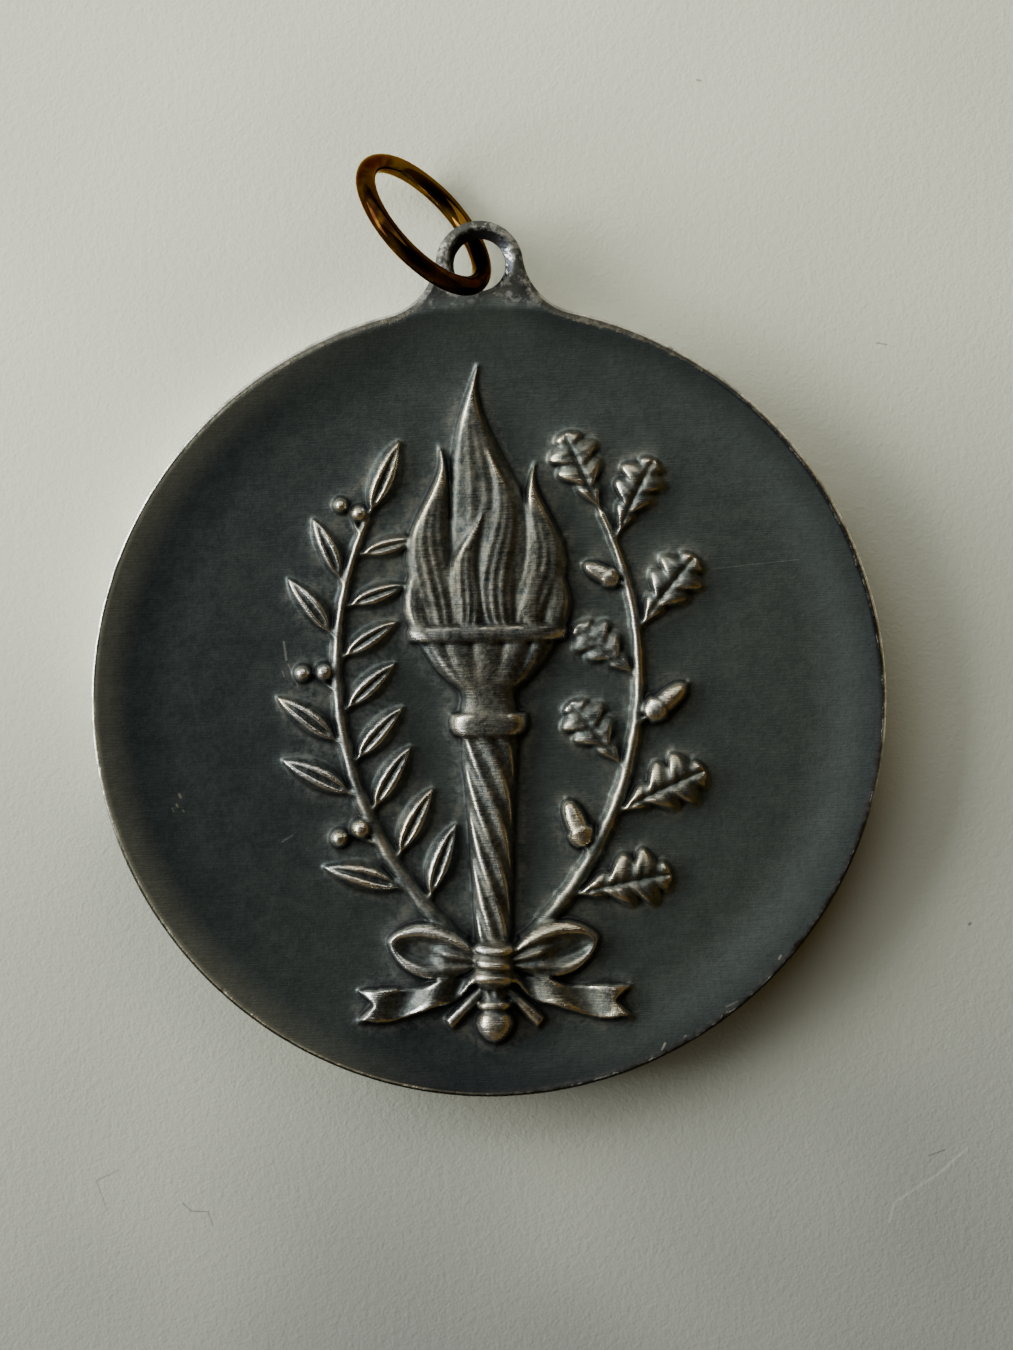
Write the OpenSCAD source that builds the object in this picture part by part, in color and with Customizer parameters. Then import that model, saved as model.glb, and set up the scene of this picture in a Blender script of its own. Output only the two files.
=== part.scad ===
/* [Disc] */
// Diameter of the disc
disc_d = 40; // [39:0.5:44]
// Thickness of the disc at its crest
disc_t = 3; // [2.8:0.1:4]
// Depth of the field below the crest
field_depth = 0.4; // [0.2:0.05:0.6]
// Diameter of the flat field
field_d = 35.6; // [35:0.1:36]
// Width of the bevel round each corner of the edge
edge_bevel = 0.15; // [0.1:0.01:0.25]

/* [Eyelet] */
// Outer diameter of the eyelet
eyelet_d = 4.4; // [4.2:0.1:5]
// Diameter of the hole through the eyelet
hole_d = 2.6; // [2.5:0.1:2.8]
// Height of the hole's centre above the disc's edge
hole_rise = 1.9; // [1.7:0.1:2.1]
// Thickness of the eyelet
eyelet_t = 1.3; // [1:0.05:1.4]
// How far the eyelet's face lies below the crest
eyelet_drop = 0.2; // [0.1:0.05:0.3]
// Rounding along the back edges of the eyelet
back_round = 0.45; // [0.4:0.05:0.45]
// Rounding along the front edges of the eyelet
front_round = 0.3; // [0.2:0.05:0.4]
// Radius of the hollow curve where each shoulder meets the disc
shoulder_r = 3.2; // [2.4:0.1:3.6]

/* [Jump ring] */
// Diameter of the wire
wire_d = 0.98; // [0.9:0.02:1]
// Outer diameter of the ring
ring_d = 8.8; // [8.6:0.1:9]
// Lean of the ring away from lying flat
ring_lean = 66.6; // [64:0.2:68]
// Direction of the ring's level diameter, counted from the right
ring_turn = 130.8; // [129:0.2:132]
// How far the ring's centre lies to the left of the hole
ring_left = 2.7; // [2.6:0.02:2.8]
// How far the ring's centre lies above the hole
ring_up = 2.02; // [1.9:0.02:2.1]
// Width of the butt split in the ring
split_w = 0.08; // [0.04:0.02:0.2]

/* [Relief] */
// How far the relief's feet are sunk into the field
relief_sink = 0.2; // [0.1:0.05:0.4]
// Height of the laurel leaves above the field
laurel_rise = 0.62; // [0.4:0.02:0.8]
// Height of the oak leaves above the field
oak_rise = 0.68; // [0.4:0.02:0.8]
// Height of the torch above the field
torch_rise = 1.1; // [0.8:0.05:1.3]
// Height of the ribbon above the field
ribbon_rise = 0.8; // [0.5:0.05:1]
// Pairs of leaves on the laurel branch
laurel_pairs = 8; // [5:1:8]
// Leaves on the oak branch
oak_leaves = 9; // [5:1:9]

/* [Hidden] */
$fn = 64;

disc_r = disc_d / 2;
crest_z = disc_t;
field_z = disc_t - field_depth;
crest_r = disc_r - edge_bevel;
// The field is the top of a plate that reaches under the rise, and a fine step marks its border
border_step = 0.04;
pocket_depth = 0.1;
plate_r = field_d / 2 + 0.4;
// The field turns up to the crest along a hollow arc
crest_flat = 0.15;
rise_w = crest_r - crest_flat - field_d / 2;
rise_h = field_depth - border_step;
rise_r = (rise_w * rise_w + rise_h * rise_h) / (2 * rise_h);

hole_y = disc_r + hole_rise;
eyelet_r = eyelet_d / 2;
eyelet_top = crest_z - eyelet_drop;
eyelet_bottom = eyelet_top - eyelet_t;
overlap = 0.5;

wire_r = wire_d / 2;
ring_r = ring_d / 2 - wire_r;
ring_z = wire_r + ring_r * sin(ring_lean);
// Place of the split around the ring, where the eyelet covers it
split_at = 244;

// Branches follow one arc each, mirrored left and right
branch_cx = -11;
branch_cy = 1.5;
branch_r = 18.6;
branch_from = -47.5;
branch_to = 25;
stem_rise = 0.55;
stem_half = 0.4;
// Leaves sit between these places on the arc, a little way out from the stem
leaves_from = -38;
leaves_to = 20;
leaf_gap = 0.9;
tip_gap = 0.15;
// Turn of the leaves away from the stem on its inner and its outer side, and how far their tips bend
laurel_spread = [54, 36];
oak_spread = [50, 40];
leaf_bend = 0.3;
// How far the two leaves of a laurel pair are set apart along the arc, in degrees
pair_stagger = 1.6;
// Leaf at the foot and at the top of the branch: length on the inner side, then on the outer side
laurel_foot = [3.8, 4];
laurel_top = [2.9, 3.2];
oak_foot = [4.4, 4.9];
oak_top = [3.2, 4.1];
laurel_half = 0.66;
oak_half = 1.4;

// Knot of the ribbon, which the branches and the torch run into
knot_y = -13.3;
knot_l = 2.2;
knot_half = 1.15;
knot_rise = 1.15 * torch_rise;
// Where a loop of the bow starts, the way it points, and its length
bow_at = [1.3, -13.05];
bow_turn = -74;
bow_l = 4.2;

// Bottom of every ridge, below where the relief is cut off
foot = -relief_sink - 0.3;

// Profiles of the ridges: how far across, how high
LEAF = [[-1, 0.4], [-0.35, 0.85], [0, 1], [0.35, 0.85], [1, 0.4]];
ROUND = [[-1, 0.3], [-0.6, 0.8], [0, 1], [0.6, 0.8], [1, 0.3]];
STRAP = [[-1, 0.7], [-0.7, 1], [0, 0.8], [0.7, 1], [1, 0.7]];
BOW = [[-1, 0.7], [-0.7, 1], [-0.1, 0.45], [0.1, 0.45], [0.7, 1], [1, 0.7]];
FLUTED = [[-1, 0.25], [-0.75, 0.7], [-0.5, 0.75], [-0.25, 1], [0, 0.88], [0.25, 1],
    [0.5, 0.75], [0.75, 0.7], [1, 0.25]];
BLAZE = [[-1, 0.3], [-0.7, 0.75], [-0.42, 0.5], [0, 1], [0.42, 0.5], [0.7, 0.75], [1, 0.3]];

// Torch above the knot, from its foot up: height, half width, share of the torch's rise
TORCH = [
    [-12.1, 0.9, 0.75], [-6, 1.15, 0.85], [-1.4, 1.5, 0.9], [-1.3, 1.95, 1], [-0.7, 1.95, 1],
    [-0.6, 1.45, 0.9], [0.2, 1.3, 0.85], [0.9, 1.7, 0.9], [1.9, 2.9, 1], [3.1, 3.6, 1],
    [3.2, 4, 1.05], [3.8, 4, 1.05]];
// Torch below the knot
POMMEL = [[-17, 0.3, 0.3], [-16.7, 0.85, 0.7], [-16.1, 1, 0.85], [-15.5, 0.65, 0.7], [-14.5, 0.65, 0.7]];

// Cut end of a stem, below the knot on the far side: across, up, half width, share of the stem's rise
STUB = [[-0.85, -14.95, 0.3, 0.9], [-2.1, -16, 0.42, 0.9]];

// Two berries that take the place of a leaf: across, up, length, half width, rise
BERRIES = [[-0.15, 1, 1, 0.46, 0.6], [0.45, 2.05, 0.9, 0.42, 0.55]];

// An acorn in its cup: across, up, half width, height above the field
ACORN = [
    [0, 0, 0.3, 0.42], [0, 0.35, 0.7, 0.8], [0, 1, 0.78, 0.85], [0, 1.15, 0.55, 0.72],
    [0, 2, 0.55, 0.72], [0, 2.6, 0.32, 0.6], [0, 2.9, 0.06, 0.34]];

// Flames: foot across, foot height, length, lean, sway, half width, rise, steps
FLAMES = [
    [0, 3.9, 13.4, 0.2, 0.8, 2.7, 0.95, 10],
    [-3.2, 3.9, 4.2, -0.3, -0.3, 0.55, 0.6, 5],
    [3.2, 3.9, 3.8, 0.4, 0.3, 0.55, 0.6, 5]];

// Right tail of the ribbon from the knot: across, up, half width, share of the ribbon's rise
TAIL = [
    [1.25, -14.15, 0.38, 0.8], [2.3, -14.5, 0.55, 0.7], [3.5, -14.95, 0.65, 0.9],
    [4.7, -15, 0.7, 0.65], [5.9, -15.3, 0.75, 0.85], [6.9, -15.2, 0.8, 0.7]];

function unit(v) = v / max(norm(v), 0.0001);
function heading(path, i) = unit(path[min(i + 1, len(path) - 1)] - path[max(i - 1, 0)]);
function branch_point(a) = [branch_cx + branch_r * cos(a), branch_cy + branch_r * sin(a)];
function mix(a, b, t) = a + (b - a) * t;

// One cross-section of a ridge: its foot on the left, its profile, its foot on the right
function section(path, i, half, rise, profile) =
    let (h = heading(path, i), side = [h[1], -h[0]])
    concat(
        [concat(path[i] - side * half, foot)],
        [for (p = profile) concat(path[i] + side * half * p[0], rise * p[1])],
        [concat(path[i] + side * half, foot)]);

// A raised form that follows a path, with a half width and a rise for each point
module ridge(path, half, rise, profile) {
    n = len(path);
    m = len(profile) + 2;
    points = [for (i = [0 : n - 1]) each section(path, i, half[i], rise[i], profile)];
    sides = [for (i = [0 : n - 2], j = [0 : m - 1])
        let (a = i * m + j, b = i * m + (j + 1) % m)
        each [[a, a + m, b + m], [a, b + m, b]]];
    start = [for (j = [0 : m - 1]) j];
    end = [for (j = [m - 1 : -1 : 0]) (n - 1) * m + j];
    polyhedron(points, concat(sides, [start], [end]), convexity = 6);
}

// A pointed laurel leaf that starts at the origin and grows along +Y
module laurel_leaf(length, half, rise, bend) {
    steps = 5;
    path = [for (i = [0 : steps]) let (t = i / steps) [bend * t * t, length * t]];
    width = [for (i = [0 : steps]) let (t = i / steps) half * max(0.08, sin(180 * pow(t, 0.85)))];
    height = [for (i = [0 : steps]) let (t = i / steps) rise * (0.55 + 0.45 * sin(150 * t))];
    ridge(path, width, height, LEAF);
}

// A lobed oak leaf that starts at the origin and grows along +Y
module oak_leaf(length, half, rise, bend) {
    steps = 10;
    lobes = 3;
    path = [for (i = [0 : steps]) let (t = i / steps) [bend * t * t, length * t]];
    width = [for (i = [0 : steps]) let (t = i / steps)
        half * max(0.1, sin(172 * pow(t, 1.1)) * (0.82 - 0.3 * cos(360 * lobes * t)))];
    height = [for (i = [0 : steps]) let (t = i / steps) rise * (0.55 + 0.45 * sin(140 * t))];
    ridge(path, width, height, LEAF);
}

// A smooth dome on an oval foot, used for berries, acorns and the knot
module bead(length, half, rise) {
    steps = 5;
    path = [for (i = [0 : steps]) [0, -length / 2 * cos(180 * i / steps)]];
    width = [for (i = [0 : steps]) half * max(0.12, sin(180 * i / steps))];
    height = [for (i = [0 : steps]) rise * max(0.2, sin(180 * i / steps))];
    ridge(path, width, height, ROUND);
}

// Puts a form on the branch, turned away from the branch's own direction and a little way out
module on_branch(a, turn, out = 0) {
    translate(branch_point(a)) rotate(a + turn) translate([0, out]) children();
}

// A ridge from a table whose rows are across, up, half width and share of a rise
module ridge_from(rows, rise, profile) {
    ridge([for (r = rows) [r[0], r[1]]], [for (r = rows) r[2]], [for (r = rows) r[3] * rise], profile);
}

module stem() {
    steps = 9;
    path = [for (i = [0 : steps]) branch_point(mix(branch_from, branch_to, i / steps))];
    width = [for (i = [0 : steps]) stem_half * mix(1, 0.5, i / steps)];
    height = [for (i = [0 : steps]) stem_rise * mix(1, 0.73, i / steps)];
    ridge(path, width, height, ROUND);
    ridge_from(STUB, stem_rise, ROUND);
}

module laurel() {
    stem();
    for (k = [0 : laurel_pairs - 1], outer = [0, 1]) {
        t = k / (laurel_pairs - 1);
        side = 2 * outer - 1;
        at = mix(leaves_from, leaves_to, t) + pair_stagger * side;
        on_branch(at, -side * laurel_spread[outer], leaf_gap)
            if (k % 3 == 1 && outer == 1)
                berries();
            else
                laurel_leaf(mix(laurel_foot[outer], laurel_top[outer], t), laurel_half, laurel_rise,
                    side * leaf_bend);
    }
    on_branch(branch_to, 0, tip_gap) laurel_leaf(laurel_foot[0], laurel_half, laurel_rise, 0);
}

module berries() {
    for (row = BERRIES)
        translate([row[0], row[1]]) bead(row[2], row[3], row[4]);
}

module oak() {
    stem();
    for (k = [0 : oak_leaves - 1]) {
        t = k / (oak_leaves - 1);
        outer = (k + 1) % 2;
        side = 2 * outer - 1;
        on_branch(mix(leaves_from, leaves_to, t), -side * oak_spread[outer], leaf_gap)
            if (k % 3 == 1)
                ridge_from(ACORN, 1, ROUND);
            else
                oak_leaf(mix(oak_foot[outer], oak_top[outer], t), oak_half, oak_rise, side * leaf_bend);
    }
    on_branch(branch_to, 0, tip_gap) oak_leaf(oak_foot[0], oak_half, oak_rise, 0);
}

module torch() {
    for (rows = [TORCH, POMMEL])
        ridge_from([for (r = rows) [0, r[0], r[1], r[2]]], torch_rise, FLUTED);
}

module flame(row) {
    steps = row[7];
    path = [for (i = [0 : steps]) let (t = i / steps)
        [row[0] + row[3] * t + row[4] * sin(400 * t) * t, row[1] + row[2] * t]];
    width = [for (i = [0 : steps]) let (t = i / steps) row[5] * max(0.04, (1 - t) * (0.95 + 0.6 * t))];
    height = [for (i = [0 : steps]) let (t = i / steps) row[6] * (1 - 0.4 * t)];
    ridge(path, width, height, BLAZE);
}

// Half of the bow, on the right: one loop seen from its open side, and one tail
module ribbon_half() {
    steps = 6;
    translate(bow_at) rotate(bow_turn) ridge(
        [for (i = [0 : steps]) [0, bow_l * i / steps]],
        [for (i = [0 : steps]) 0.28 + 0.85 * sin(165 * i / steps)],
        [for (i = [0 : steps]) ribbon_rise],
        BOW);
    ridge_from(TAIL, ribbon_rise, STRAP);
}

module ribbon() {
    ribbon_half();
    mirror([1, 0]) ribbon_half();
    translate([0, knot_y]) bead(knot_l, knot_half, knot_rise);
}

// The relief and the field it stands on, as one solid brought to its size in one step
module relief() {
    resize([2 * plate_r, 2 * plate_r, 0]) intersection() {
        translate([0, 0, field_z]) union() {
            translate([0, 0, -disc_t]) cylinder(r = plate_r, h = disc_t, $fn = 60);
            mirror([1, 0]) laurel();
            oak();
            torch();
            for (row = FLAMES) flame(row);
            ribbon();
        }
        translate([-disc_r, -disc_r, field_z - relief_sink]) cube([disc_d, disc_d, disc_t]);
    }
}

// Half of the disc's section: back at zero, bevelled edge, crest, rise in conical bands, pocket for the field
module disc_section() {
    bands = 5;
    field_r = field_d / 2;
    rise = [for (i = [0 : bands])
        let (x = rise_w * i / bands)
        [field_r + x, field_z + border_step + rise_r - sqrt(rise_r * rise_r - x * x)]];
    polygon(concat(
        [[0, 0], [crest_r, 0], [disc_r, edge_bevel], [disc_r, disc_t - edge_bevel], [crest_r, disc_t]],
        [for (i = [bands : -1 : 0]) rise[i]],
        [[field_r, field_z - pocket_depth], [0, field_z - pocket_depth]]));
}

// Section of the eyelet's wall, a little rounder at the back than at the front
module eyelet_section() {
    inner = hole_d / 2;
    wall = eyelet_r - inner;
    translate([inner, eyelet_bottom + back_round]) square([wall, eyelet_t - back_round - front_round]);
    translate([inner + back_round, eyelet_bottom])
        square([max(wall - 2 * back_round, 0.001), back_round * 2]);
    translate([inner + front_round, eyelet_top - front_round * 2])
        square([wall - 2 * front_round, front_round * 2]);
    for (x = [inner + back_round, eyelet_r - back_round])
        translate([x, eyelet_bottom + back_round]) circle(r = back_round);
    for (x = [inner + front_round, eyelet_r - front_round])
        translate([x, eyelet_top - front_round]) circle(r = front_round);
}

// Outline of the web between the eyelet and the disc, with a hollow curve on each side
module web_outline() {
    // Centre of each hollow curve, touching the eyelet's outside and the disc's edge
    far = disc_r + shoulder_r;
    near = eyelet_r + shoulder_r;
    cy = (far * far - near * near + hole_y * hole_y) / (2 * hole_y);
    cx = sqrt(far * far - cy * cy);
    // Points where the curves touch the disc and the eyelet
    tx = cx * disc_r / far;
    ty = cy * disc_r / far;
    ex = cx * eyelet_r / near;
    ey = hole_y + (cy - hole_y) * eyelet_r / near;
    difference() {
        polygon([[-tx, ty - overlap], [tx, ty - overlap], [tx, ty], [cx, cy], [ex, ey], [0, hole_y],
            [-ex, ey], [-cx, cy], [-tx, ty]]);
        for (s = [-1, 1]) translate([s * cx, cy]) circle(r = shoulder_r);
    }
}

module eyelet() {
    translate([0, hole_y]) rotate_extrude() eyelet_section();
    difference() {
        translate([0, 0, eyelet_bottom]) linear_extrude(eyelet_t) web_outline();
        translate([0, hole_y, 0]) cylinder(r = hole_d / 2 + back_round, h = disc_t * 2, center = true);
    }
}

module medal() {
    color([0.27, 0.3, 0.3]) {
        union() {
            rotate_extrude($fn = 180) disc_section();
            eyelet();
        }
        relief();
    }
}

module jump_ring() {
    color([0.45, 0.31, 0.06])
        translate([-ring_left, hole_y + ring_up, ring_z])
            rotate([0, 0, ring_turn]) rotate([ring_lean, 0, 0]) difference() {
                rotate_extrude($fn = 96) translate([ring_r, 0]) circle(r = wire_r);
                rotate(split_at) translate([0, -split_w / 2, -wire_d]) cube([ring_d, split_w, wire_d * 2]);
            }
}

medal();
jump_ring();
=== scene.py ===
"""A struck medal with a torch between laurel and oak, its eyelet and jump ring, on a pale painted surface."""
import math

import bpy
import numpy as np
from mathutils import Matrix, Vector
from mathutils.bvhtree import BVHTree
from mathutils.geometry import delaunay_2d_cdt


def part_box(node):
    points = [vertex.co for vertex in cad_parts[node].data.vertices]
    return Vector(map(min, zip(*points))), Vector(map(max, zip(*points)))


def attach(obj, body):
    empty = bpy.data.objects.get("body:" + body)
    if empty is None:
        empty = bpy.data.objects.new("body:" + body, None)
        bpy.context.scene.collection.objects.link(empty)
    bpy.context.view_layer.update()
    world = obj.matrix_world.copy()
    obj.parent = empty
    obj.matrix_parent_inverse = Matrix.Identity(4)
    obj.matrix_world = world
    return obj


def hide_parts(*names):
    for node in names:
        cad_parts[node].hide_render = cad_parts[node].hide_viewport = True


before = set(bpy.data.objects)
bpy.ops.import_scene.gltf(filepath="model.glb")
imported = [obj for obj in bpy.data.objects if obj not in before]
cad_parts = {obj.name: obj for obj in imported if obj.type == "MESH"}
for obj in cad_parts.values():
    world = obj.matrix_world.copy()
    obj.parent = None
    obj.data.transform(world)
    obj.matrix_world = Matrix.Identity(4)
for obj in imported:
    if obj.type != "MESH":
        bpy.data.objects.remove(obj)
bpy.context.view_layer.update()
MEDAL_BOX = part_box("medal")
RING_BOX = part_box("jump_ring")

bl_info = {
    "name": "Struck medal",
    "version": (1, 0, 0),
    "blender": (4, 5, 0),
    "location": "3D View > Sidebar > Medal",
    "description": "Builds a struck medal with its jump ring, and the surface, lights and camera around it",
    "category": "Object",
}

MM = 0.001

# ---- The design of the relief, in millimetres from the disc's centre

# The arc that each branch follows
ARC_X, ARC_Y, ARC_R = -11.0, 1.5, 18.6
STEM_FROM, STEM_TO = -47.5, 25.0
LEAVES_FROM, LEAVES_TO = -38.0, 20.0
LEAF_GAP = 0.75

# Torch from its foot to its lip: height, half width, share of the torch's rise
TORCH = np.array([
    [-17.3, 0.05, 0.3], [-17.1, 0.5, 0.6], [-16.7, 0.85, 0.85], [-16.3, 0.98, 0.95], [-15.9, 0.88, 0.88],
    [-15.6, 0.62, 0.7], [-15.5, 0.9, 0.85], [-15.2, 0.9, 0.85], [-15.1, 0.62, 0.7], [-12.1, 0.9, 0.78],
    [-6.0, 1.15, 0.86], [-1.75, 1.45, 0.9], [-1.65, 1.75, 0.98], [-1.35, 1.95, 1.02], [-1.0, 1.98, 1.04],
    [-0.65, 1.92, 1.02], [-0.55, 1.45, 0.9], [0.2, 1.3, 0.85], [0.6, 1.45, 0.88], [1.1, 2.1, 0.96],
    [1.9, 2.85, 1.02], [2.6, 3.3, 1.03], [3.0, 3.5, 1.0], [3.1, 3.95, 1.1], [3.45, 4.05, 1.16],
    [3.8, 3.95, 1.1], [3.9, 3.7, 0.9]])

# Tongues of flame, from the back to the front: foot across, foot height, length, lean, sway,
# half width, rise for a torch that stands TORCH_RISE high, turn of the sway
TORCH_RISE = 1.1
FLAMES = [
    [0.0, 3.6, 13.7, 0.2, 0.85, 2.5, 0.78, 0.0],
    [-1.9, 3.6, 9.6, -1.1, 0.9, 1.45, 0.86, 2.6],
    [2.0, 3.6, 8.6, 1.3, -0.8, 1.4, 0.84, 2.6],
    [-3.2, 3.6, 5.2, -0.6, -0.45, 0.8, 0.74, 0.6],
    [3.25, 3.6, 4.7, 0.7, 0.4, 0.8, 0.74, 0.6],
    [0.75, 3.6, 9.9, -0.5, -0.8, 1.35, 1.02, 1.0],
    [-0.9, 3.6, 6.7, 0.35, 0.6, 1.1, 1.14, 2.2],
    [2.3, 3.6, 3.6, 0.1, -0.3, 0.75, 1.0, 0.4]]

# Right tail of the ribbon from the knot: across, up, half width
TAIL = np.array([
    [0.9, -13.9, 0.3], [1.6, -14.3, 0.5], [2.4, -14.6, 0.62], [3.5, -15.0, 0.7], [4.7, -15.1, 0.76],
    [5.9, -15.35, 0.82], [6.95, -15.25, 0.88]])

# Marks on the edge: direction in degrees, breadth in degrees, how much they widen the worn bevel
NICKS = [
    (-31.0, 0.5, 0.10), (-39.7, 0.9, 0.12), (-42.2, 0.4, 0.08), (-54.3, 0.8, 0.14), (-60.8, 0.5, 0.10),
    (-64.3, 0.6, 0.12), (-87.5, 0.5, 0.10), (-95.9, 0.5, 0.09), (-108.9, 0.4, 0.07), (-121.6, 0.4, 0.07),
    (-127.2, 0.5, 0.08), (-133.5, 0.5, 0.16), (-145.8, 0.6, 0.10), (-147.6, 0.4, 0.08), (-153.8, 0.5, 0.09),
    (18.7, 0.7, 0.10), (6.6, 0.4, 0.07), (172.0, 0.4, 0.06), (189.0, 0.5, 0.06), (-171.5, 0.4, 0.07)]

# Scratches and specks on the medal's face, with painted highlights on the bright sides of its dents: width,
# strength, then points across and up
FACE_SCRATCHES_AND_DENT_HIGHLIGHTS = [
    (0.13, 1.0, -10.24, 3.16, -10.14, 2.28), (0.09, 0.6, -10.05, 2.05, -9.58, 0.93),
    (0.11, 0.5, -10.35, 1.7, -10.25, 1.43), (0.05, 0.5, 11.3, 6.4, 15.75, 6.8),
    (0.14, 0.9, -15.7, -4.4, -15.63, -4.55), (0.12, 0.8, -15.84, -4.92, -15.79, -5.0),
    (0.12, 0.5, -15.53, -5.2, -15.48, -5.28), (0.1, 0.4, -16.06, -5.1, -16.0, -5.25),
    (0.1, 0.45, -10.55, -6.9, -10.05, -6.6), (0.12, 1.3, 8.38, -17.77, 8.54, -17.46),
    (0.1, 0.9, 9.5, -17.17, 9.6, -17.1), (0.1, 0.5, 11.66, -15.67, 12.23, -15.41),
    (0.12, 0.9, 14.36, -13.3, 14.45, -13.15)]

# Scratches in the painted surface, and fibres and specks on it, written the same way
PALE_MARKS = [
    (0.15, 1.0, 23.2, 27.9, 23.09, 27.1), (0.13, 0.9, 23.28, 26.9, 23.72, 26.5), (0.12, 0.5, 22.75, 26.9, 21.2, 22.1),
    (0.14, 0.5, 23.92, -23.49, 22.48, -24.75, 20.15, -26.22, 19.88, -27.22)]
DARK_MARKS = [
    (0.12, 0.8, 11.15, 31.05, 11.35, 31.0), (0.1, 0.7, 20.0, 17.6, 20.5, 17.5), (0.17, 1.0, 24.2, -12.05, 24.25, -12.0),
    (0.09, 0.55, -19.43, -23.77, -20.6, -24.3, -20.09, -25.84), (0.1, 0.7, 21.98, -23.85, 22.75, -23.58),
    (0.09, 0.7, -16.22, -25.54, -15.78, -25.97, -14.91, -26.02, -14.71, -26.72)]


def length_prop(name, description, default):
    return bpy.props.FloatProperty(name=name, description=description, unit="LENGTH", default=default)


def angle_prop(name, description, degrees):
    return bpy.props.FloatProperty(name=name, description=description, subtype="ANGLE", default=math.radians(degrees))


def colour_prop(name, description, *default):
    return bpy.props.FloatVectorProperty(name=name, description=description, subtype="COLOR", size=3, default=default)


class MedalSizes(bpy.types.PropertyGroup):
    disc_d: length_prop("Disc diameter", "Diameter of the disc", MEDAL_BOX[1][0] - MEDAL_BOX[0][0])
    disc_t: length_prop("Disc thickness", "Thickness of the disc at its crest", 3 * MM)
    field_depth: length_prop("Field depth", "Depth of the field below the crest", 0.4 * MM)
    field_d: length_prop("Field diameter", "Where the field starts to rise", 34.6 * MM)
    eyelet_d: length_prop("Eyelet diameter", "Outer diameter of the eyelet", 4.4 * MM)
    hole_d: length_prop("Hole diameter", "Diameter of the eyelet's hole", 2.6 * MM)
    eyelet_t: length_prop("Eyelet thickness", "Thickness of the eyelet", 1.3 * MM)
    eyelet_drop: length_prop("Eyelet drop", "How far the eyelet's face lies below the crest", 0.2 * MM)
    shoulder_r: length_prop("Shoulder radius", "Hollow curve between the eyelet and the disc", 3.2 * MM)
    torch_rise: length_prop("Torch rise", "Height of the torch above the field", TORCH_RISE * MM)
    leaf_rise: length_prop("Leaf rise", "Height of the leaves above the field", 0.72 * MM)
    ribbon_rise: length_prop("Ribbon rise", "Height of the ribbon above the field", 0.82 * MM)
    swell_rise: length_prop("Swell", "Height of the low swell in the field round the relief", 0.15 * MM)
    softness: length_prop("Softness", "How far the striking rounds every edge of the relief", 0.068 * MM)


class RingSizes(bpy.types.PropertyGroup):
    wire_d: length_prop("Wire diameter", "Diameter of the ring's wire", 0.98 * MM)
    ring_d: length_prop("Ring diameter", "Outer diameter of the ring", 8.8 * MM)
    lean: angle_prop("Lean", "How far the ring leans up from lying flat", 66.6)
    turn: angle_prop("Turn", "Direction of the ring's level diameter", 130.8)
    centre: bpy.props.FloatVectorProperty(
        name="Centre", description="Centre of the ring", subtype="TRANSLATION", size=3,
        default=[(RING_BOX[0][k] + RING_BOX[1][k]) / 2 for k in range(3)])
    split_at: angle_prop("Split", "Place of the butt split around the ring", 244)
    split_w: length_prop("Split width", "Width of the butt split", 0.08 * MM)


class Finish(bpy.types.PropertyGroup):
    patina: colour_prop("Patina", "Dark patina of the field", 0.035, 0.0465, 0.05)
    worn: colour_prop("Worn silver", "Silver worn bare on the high points", 0.565, 0.575, 0.55)
    rubbed: colour_prop("Rubbed edge", "Dull grey of the rubbed edge and the eyelet", 0.092, 0.087, 0.07)
    # This dark colour also paints shade on the hole's shaded slope and darkens the eyelet's root
    grime_and_shade: colour_prop("Grime", "Dark in the hollows", 0.02, 0.021, 0.022)
    brass: colour_prop("Brass", "Brass of the jump ring where it is bare", 0.14, 0.07, 0.009)
    tarnish: colour_prop("Tarnish", "Brown tarnish on the jump ring", 0.018, 0.0065, 0.0022)
    surface: colour_prop("Surface", "Paint of the surface that the medal lies on", 0.89, 0.935, 0.755)


class StageSettings(bpy.types.PropertyGroup):
    distance: length_prop("Camera distance", "From the camera to the medal's face", 0.26)
    tilt: angle_prop("Tilt", "How far the camera leans from straight above", 3)
    azimuth: angle_prop("Azimuth", "Direction that the camera leans towards", 80)
    roll: angle_prop("Roll", "Turn of the medal in the picture", 1.2)
    window_power: bpy.props.FloatProperty(
        name="Window", description="Power of the large soft light", unit="POWER", default=1.3)
    daylight: colour_prop("Daylight", "Colour of the window's light", 1.0, 0.99, 0.93)
    glow: bpy.props.FloatProperty(
        name="Glow", description="Strength of the soft light from the window's side", default=1.2)
    fill: bpy.props.FloatProperty(
        name="Fill", description="Strength of the light that the room's walls give back", default=0.18)


# ---- Helpers for nodes

class Value:
    """A socket in a node tree, so that sums written with it add the Math nodes that work them out."""

    def __init__(self, nodes, socket):
        self.nodes = nodes
        self.socket = socket

    def math(self, operation, *others, clamp=False):
        return self.nodes.add("ShaderNodeMath", {"operation": operation, "use_clamp": clamp}, self, *others)

    def __add__(self, other):
        return self.math("ADD", other)

    def __sub__(self, other):
        return self.math("SUBTRACT", other)

    def __rsub__(self, other):
        return self.nodes.add("ShaderNodeMath", {"operation": "SUBTRACT"}, other, self)

    def __mul__(self, other):
        return self.math("MULTIPLY", other)

    def __truediv__(self, other):
        return self.math("DIVIDE", other)

    def __rtruediv__(self, other):
        return self.nodes.add("ShaderNodeMath", {"operation": "DIVIDE"}, other, self)

    def __pow__(self, other):
        return self.math("POWER", other)

    __radd__ = __add__
    __rmul__ = __mul__

    def clamp(self):
        return self.math("ADD", 0.0, clamp=True)

    def between(self, low, high):
        """Goes smoothly from nought at low to one at high."""
        return self.nodes.add("ShaderNodeMapRange", {"interpolation_type": "SMOOTHSTEP"}, self, low, high, 0.0, 1.0)


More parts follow.
